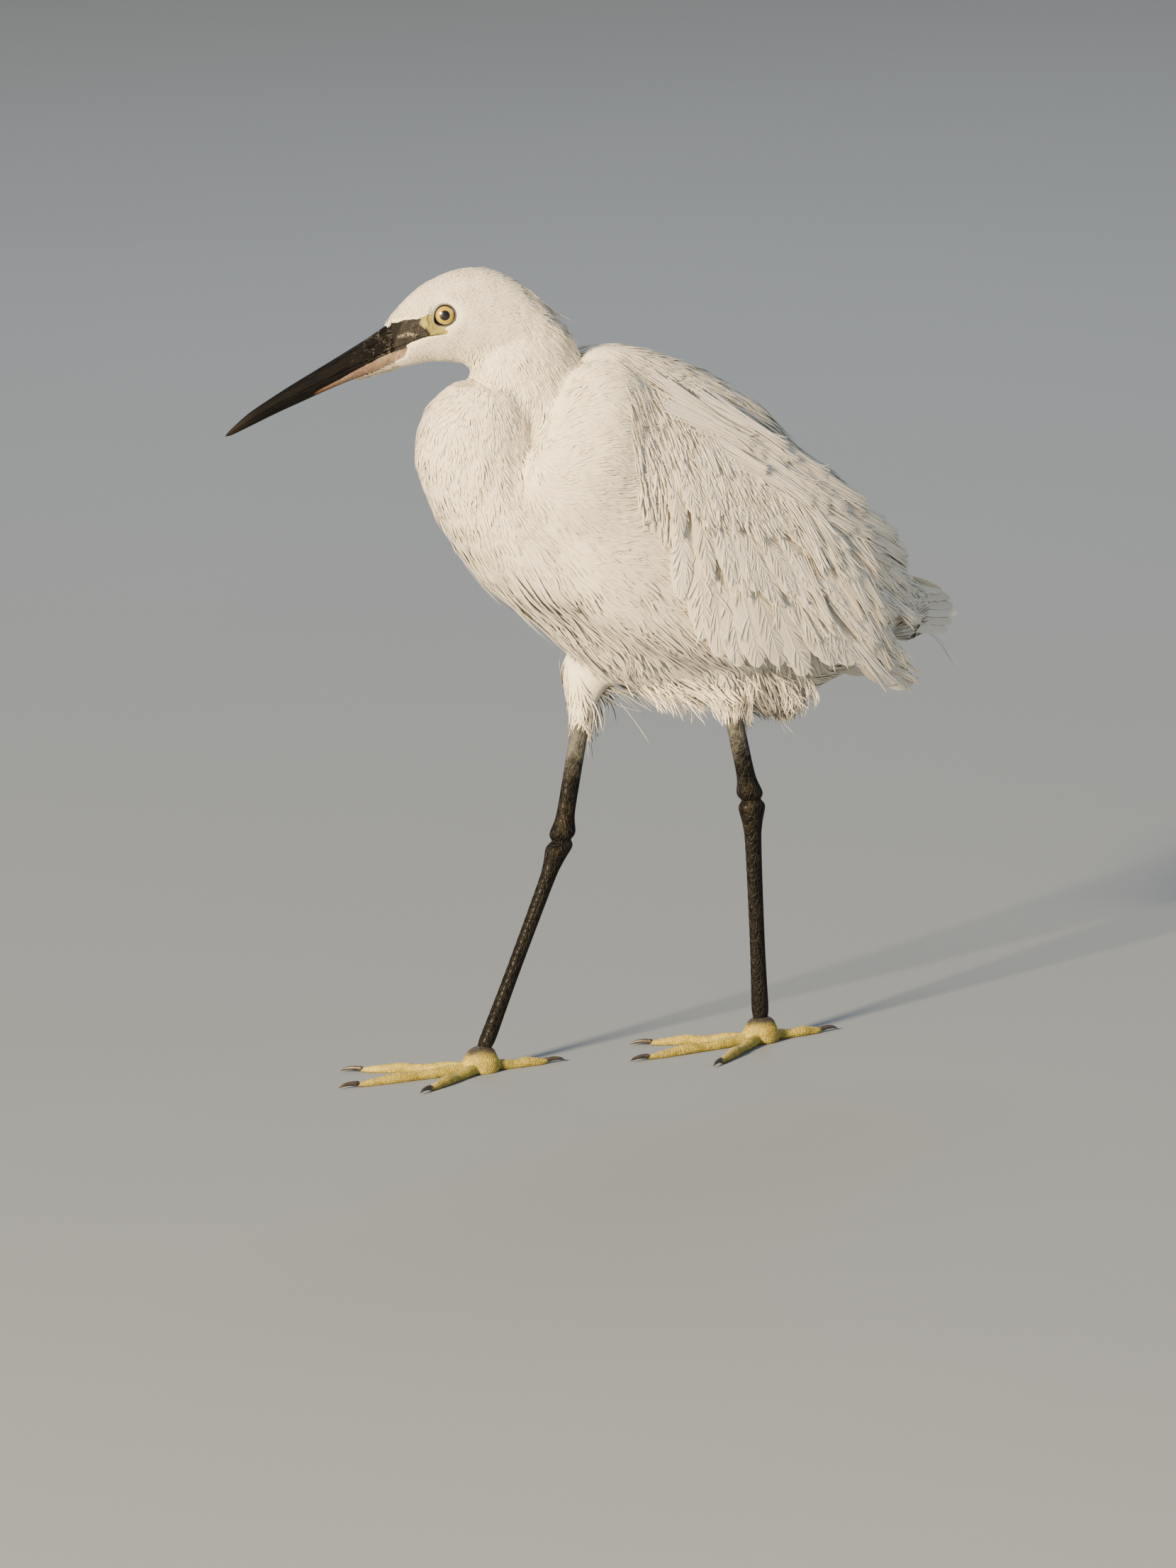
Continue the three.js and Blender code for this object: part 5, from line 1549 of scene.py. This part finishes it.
def foot_pieces(side, sign):
    """One skin for the root of the toes and the toes, with the claws apart from it."""
    foot_x, foot_y = foot_place(side)
    turned = {}
    for toe, spread in TOE_SPREAD.items():
        turn = np.array(Matrix.Rotation(math.radians(spread * sign + sign * 4), 3, "Z"))
        turned[toe] = lambda points, turn=turn: points @ turn.T + [foot_x, foot_y, 0]
    pad = Form(upright([(-0.5, 0, 12, 4.5, 4.2), (0, 0, 9, 6.4, 5.4), (0.5, 0, 5, 8.4, 7),
                        (0.5, 0, 1, 8.6, 7.2), (0.5, 0, -2, 7, 6)]))
    bm = bmesh.new()
    add_form(bm, pad, 0, 40, 40, turned["middle"])
    for toe, length in TOE_LENGTH.items():
        def scaled(points, toe=toe):
            ridge = np.abs(np.sin(points[:, 0] * math.pi / 2.6)) ** 0.6
            points = points.copy()
            points[:, 2] += 0.22 * (ridge - 0.5) * np.clip(points[:, 2] / 3, 0, 1) * (points[:, 0] > 6)
            return turned[toe](points)
        add_form(bm, toe_form(length), 0, 40, 160, scaled)
    mesh = remeshed(bm, LIMB_VOXEL)
    eased(mesh, 2)
    points = mesh_points(mesh)
    points[:, 2] = np.maximum(points[:, 2], 0.02)
    set_points(mesh, row(points))
    toes = [f"toe_{side}_{toe}" for toe in TOE_LENGTH]
    finished(f"foot_{side}_skin", mesh, PAINTS["toe"], [f"foot_{side}", *toes])
    for toe, length in TOE_LENGTH.items():
        bm = bmesh.new()
        add_form(bm, claw_form(length), 0, 24, 40, turned[toe])
        bmesh.ops.recalc_face_normals(bm, faces=bm.faces)
        mesh = mesh_of(bm, "claw")
        set_points(mesh, row(mesh_points(mesh)))
        finished(f"claw_{side}_{toe}_horn", mesh, PAINTS["claw"], [f"claw_{side}_{toe}"])


# Stage

def lit(name, place, aim, energy, size, color):
    """A soft square light that faces its aim."""
    data = bpy.data.lights.new(name, "AREA")
    data.energy = energy
    data.color = color
    data.size = size
    light = linked(name, data)
    light.location = place
    light.rotation_euler = (Vector(aim) - Vector(place)).to_track_quat("-Z", "Y").to_euler()


def stage():
    """A pale floor and soft studio light."""
    bm = bmesh.new()
    bmesh.ops.create_circle(bm, cap_ends=True, segments=96, radius=9.0)
    mesh = mesh_of(bm, "floor")
    floor = linked("floor", mesh)
    paint = Paint("floor", roughness=0.9, specular_ior_level=0.1)
    grain = paint.noise(paint.place(), 3.0, 3.0)
    paint.feed("Base Color", paint.mixed(grain, (0.22, 0.255, 0.295), (0.235, 0.27, 0.31)))
    mesh.materials.append(paint.material)
    world = bpy.data.worlds.new("studio")
    bpy.context.scene.world = world
    world.use_nodes = True
    background = world.node_tree.nodes["Background"]
    background.inputs["Color"].default_value = (0.58, 0.69, 0.84, 1)
    background.inputs["Strength"].default_value = 0.36
    lit("key", (6.2, 3.0, 2.5), (0, 0, 0.2), 2400, 1.0, (1.0, 0.76, 0.47))
    lit("fill", (-2.2, 1.8, 1.6), (0, 0, 0.2), 20, 1.6, (0.82, 0.9, 1.0))
    lit("rim", (-1.2, -2.0, 1.8), (0, 0, 0.22), 22, 1.0, (0.85, 0.92, 1.0))


def photo_camera():
    """The camera at the photo's angle and framing."""
    azimuth, elevation, roll = (math.radians(angle) for angle in CAMERA_ANGLES)
    back = Vector((math.sin(azimuth) * math.cos(elevation), -math.cos(azimuth) * math.cos(elevation),
                   math.sin(elevation)))
    right = Vector((0, 0, 1)).cross(back).normalized()
    up = back.cross(right)
    turned_up = up * math.cos(roll) + right * math.sin(roll)
    turned_right = right * math.cos(roll) - up * math.sin(roll)
    data = bpy.data.cameras.new("camera")
    data.lens = SENSOR_SPAN * 1000 * CAMERA_DISTANCE / VIEW_SPAN
    data.clip_end = 100
    camera = linked("camera", data)
    camera.matrix_world = Matrix((turned_right, turned_up, back)).transposed().to_4x4()
    camera.location = Vector(row([CAMERA_AIM])[0]) + back * CAMERA_DISTANCE
    bpy.context.scene.camera = camera


PAINTS = {
    "tuft": tuft_paint(),
    "vane": vane_paint(),
    "skin": skin_paint(),
    "lid": lid_paint(),
    "bill_upper": bill_paint("bill_upper", False),
    "bill_lower": bill_paint("bill_lower", True),
    "eye": eye_paint(),
    "leg": leg_paint(),
    "toe": toe_paint(),
    "claw": claw_paint(),
}
BODY_NODES = ["torso", "neck_lower", "neck_upper", "head", "wing_left", "wing_right", "tail", "thigh_left",
              "thigh_right"]


def unwrapped(mesh):
    """An unwrap of the skin's own shape."""
    mesh.uv_layers.new(name="OFBake")
    holder = linked("unwrap", mesh)
    bpy.context.view_layer.objects.active = holder
    holder.select_set(True)
    bpy.ops.object.mode_set(mode="EDIT")
    bpy.ops.mesh.select_all(action="SELECT")
    bpy.ops.uv.smart_project(angle_limit=math.radians(66), island_margin=0.002)
    bpy.ops.object.mode_set(mode="OBJECT")
    bpy.data.objects.remove(holder)


skin_mesh = body_skin()
unwrapped(skin_mesh)
skin = Surface(skin_mesh)
coat = Coat(skin, Lie())
short_plumage(coat, skin)
wing_plumage(coat, skin)
tail_plumage(coat, skin)
loose_plumage(coat, skin)
bill_pieces()
eyes()
leg_pieces()
set_points(skin_mesh, row(mesh_points(skin_mesh)))
finished("body_skin", skin_mesh, PAINTS["skin"], BODY_NODES)
stage()
photo_camera()
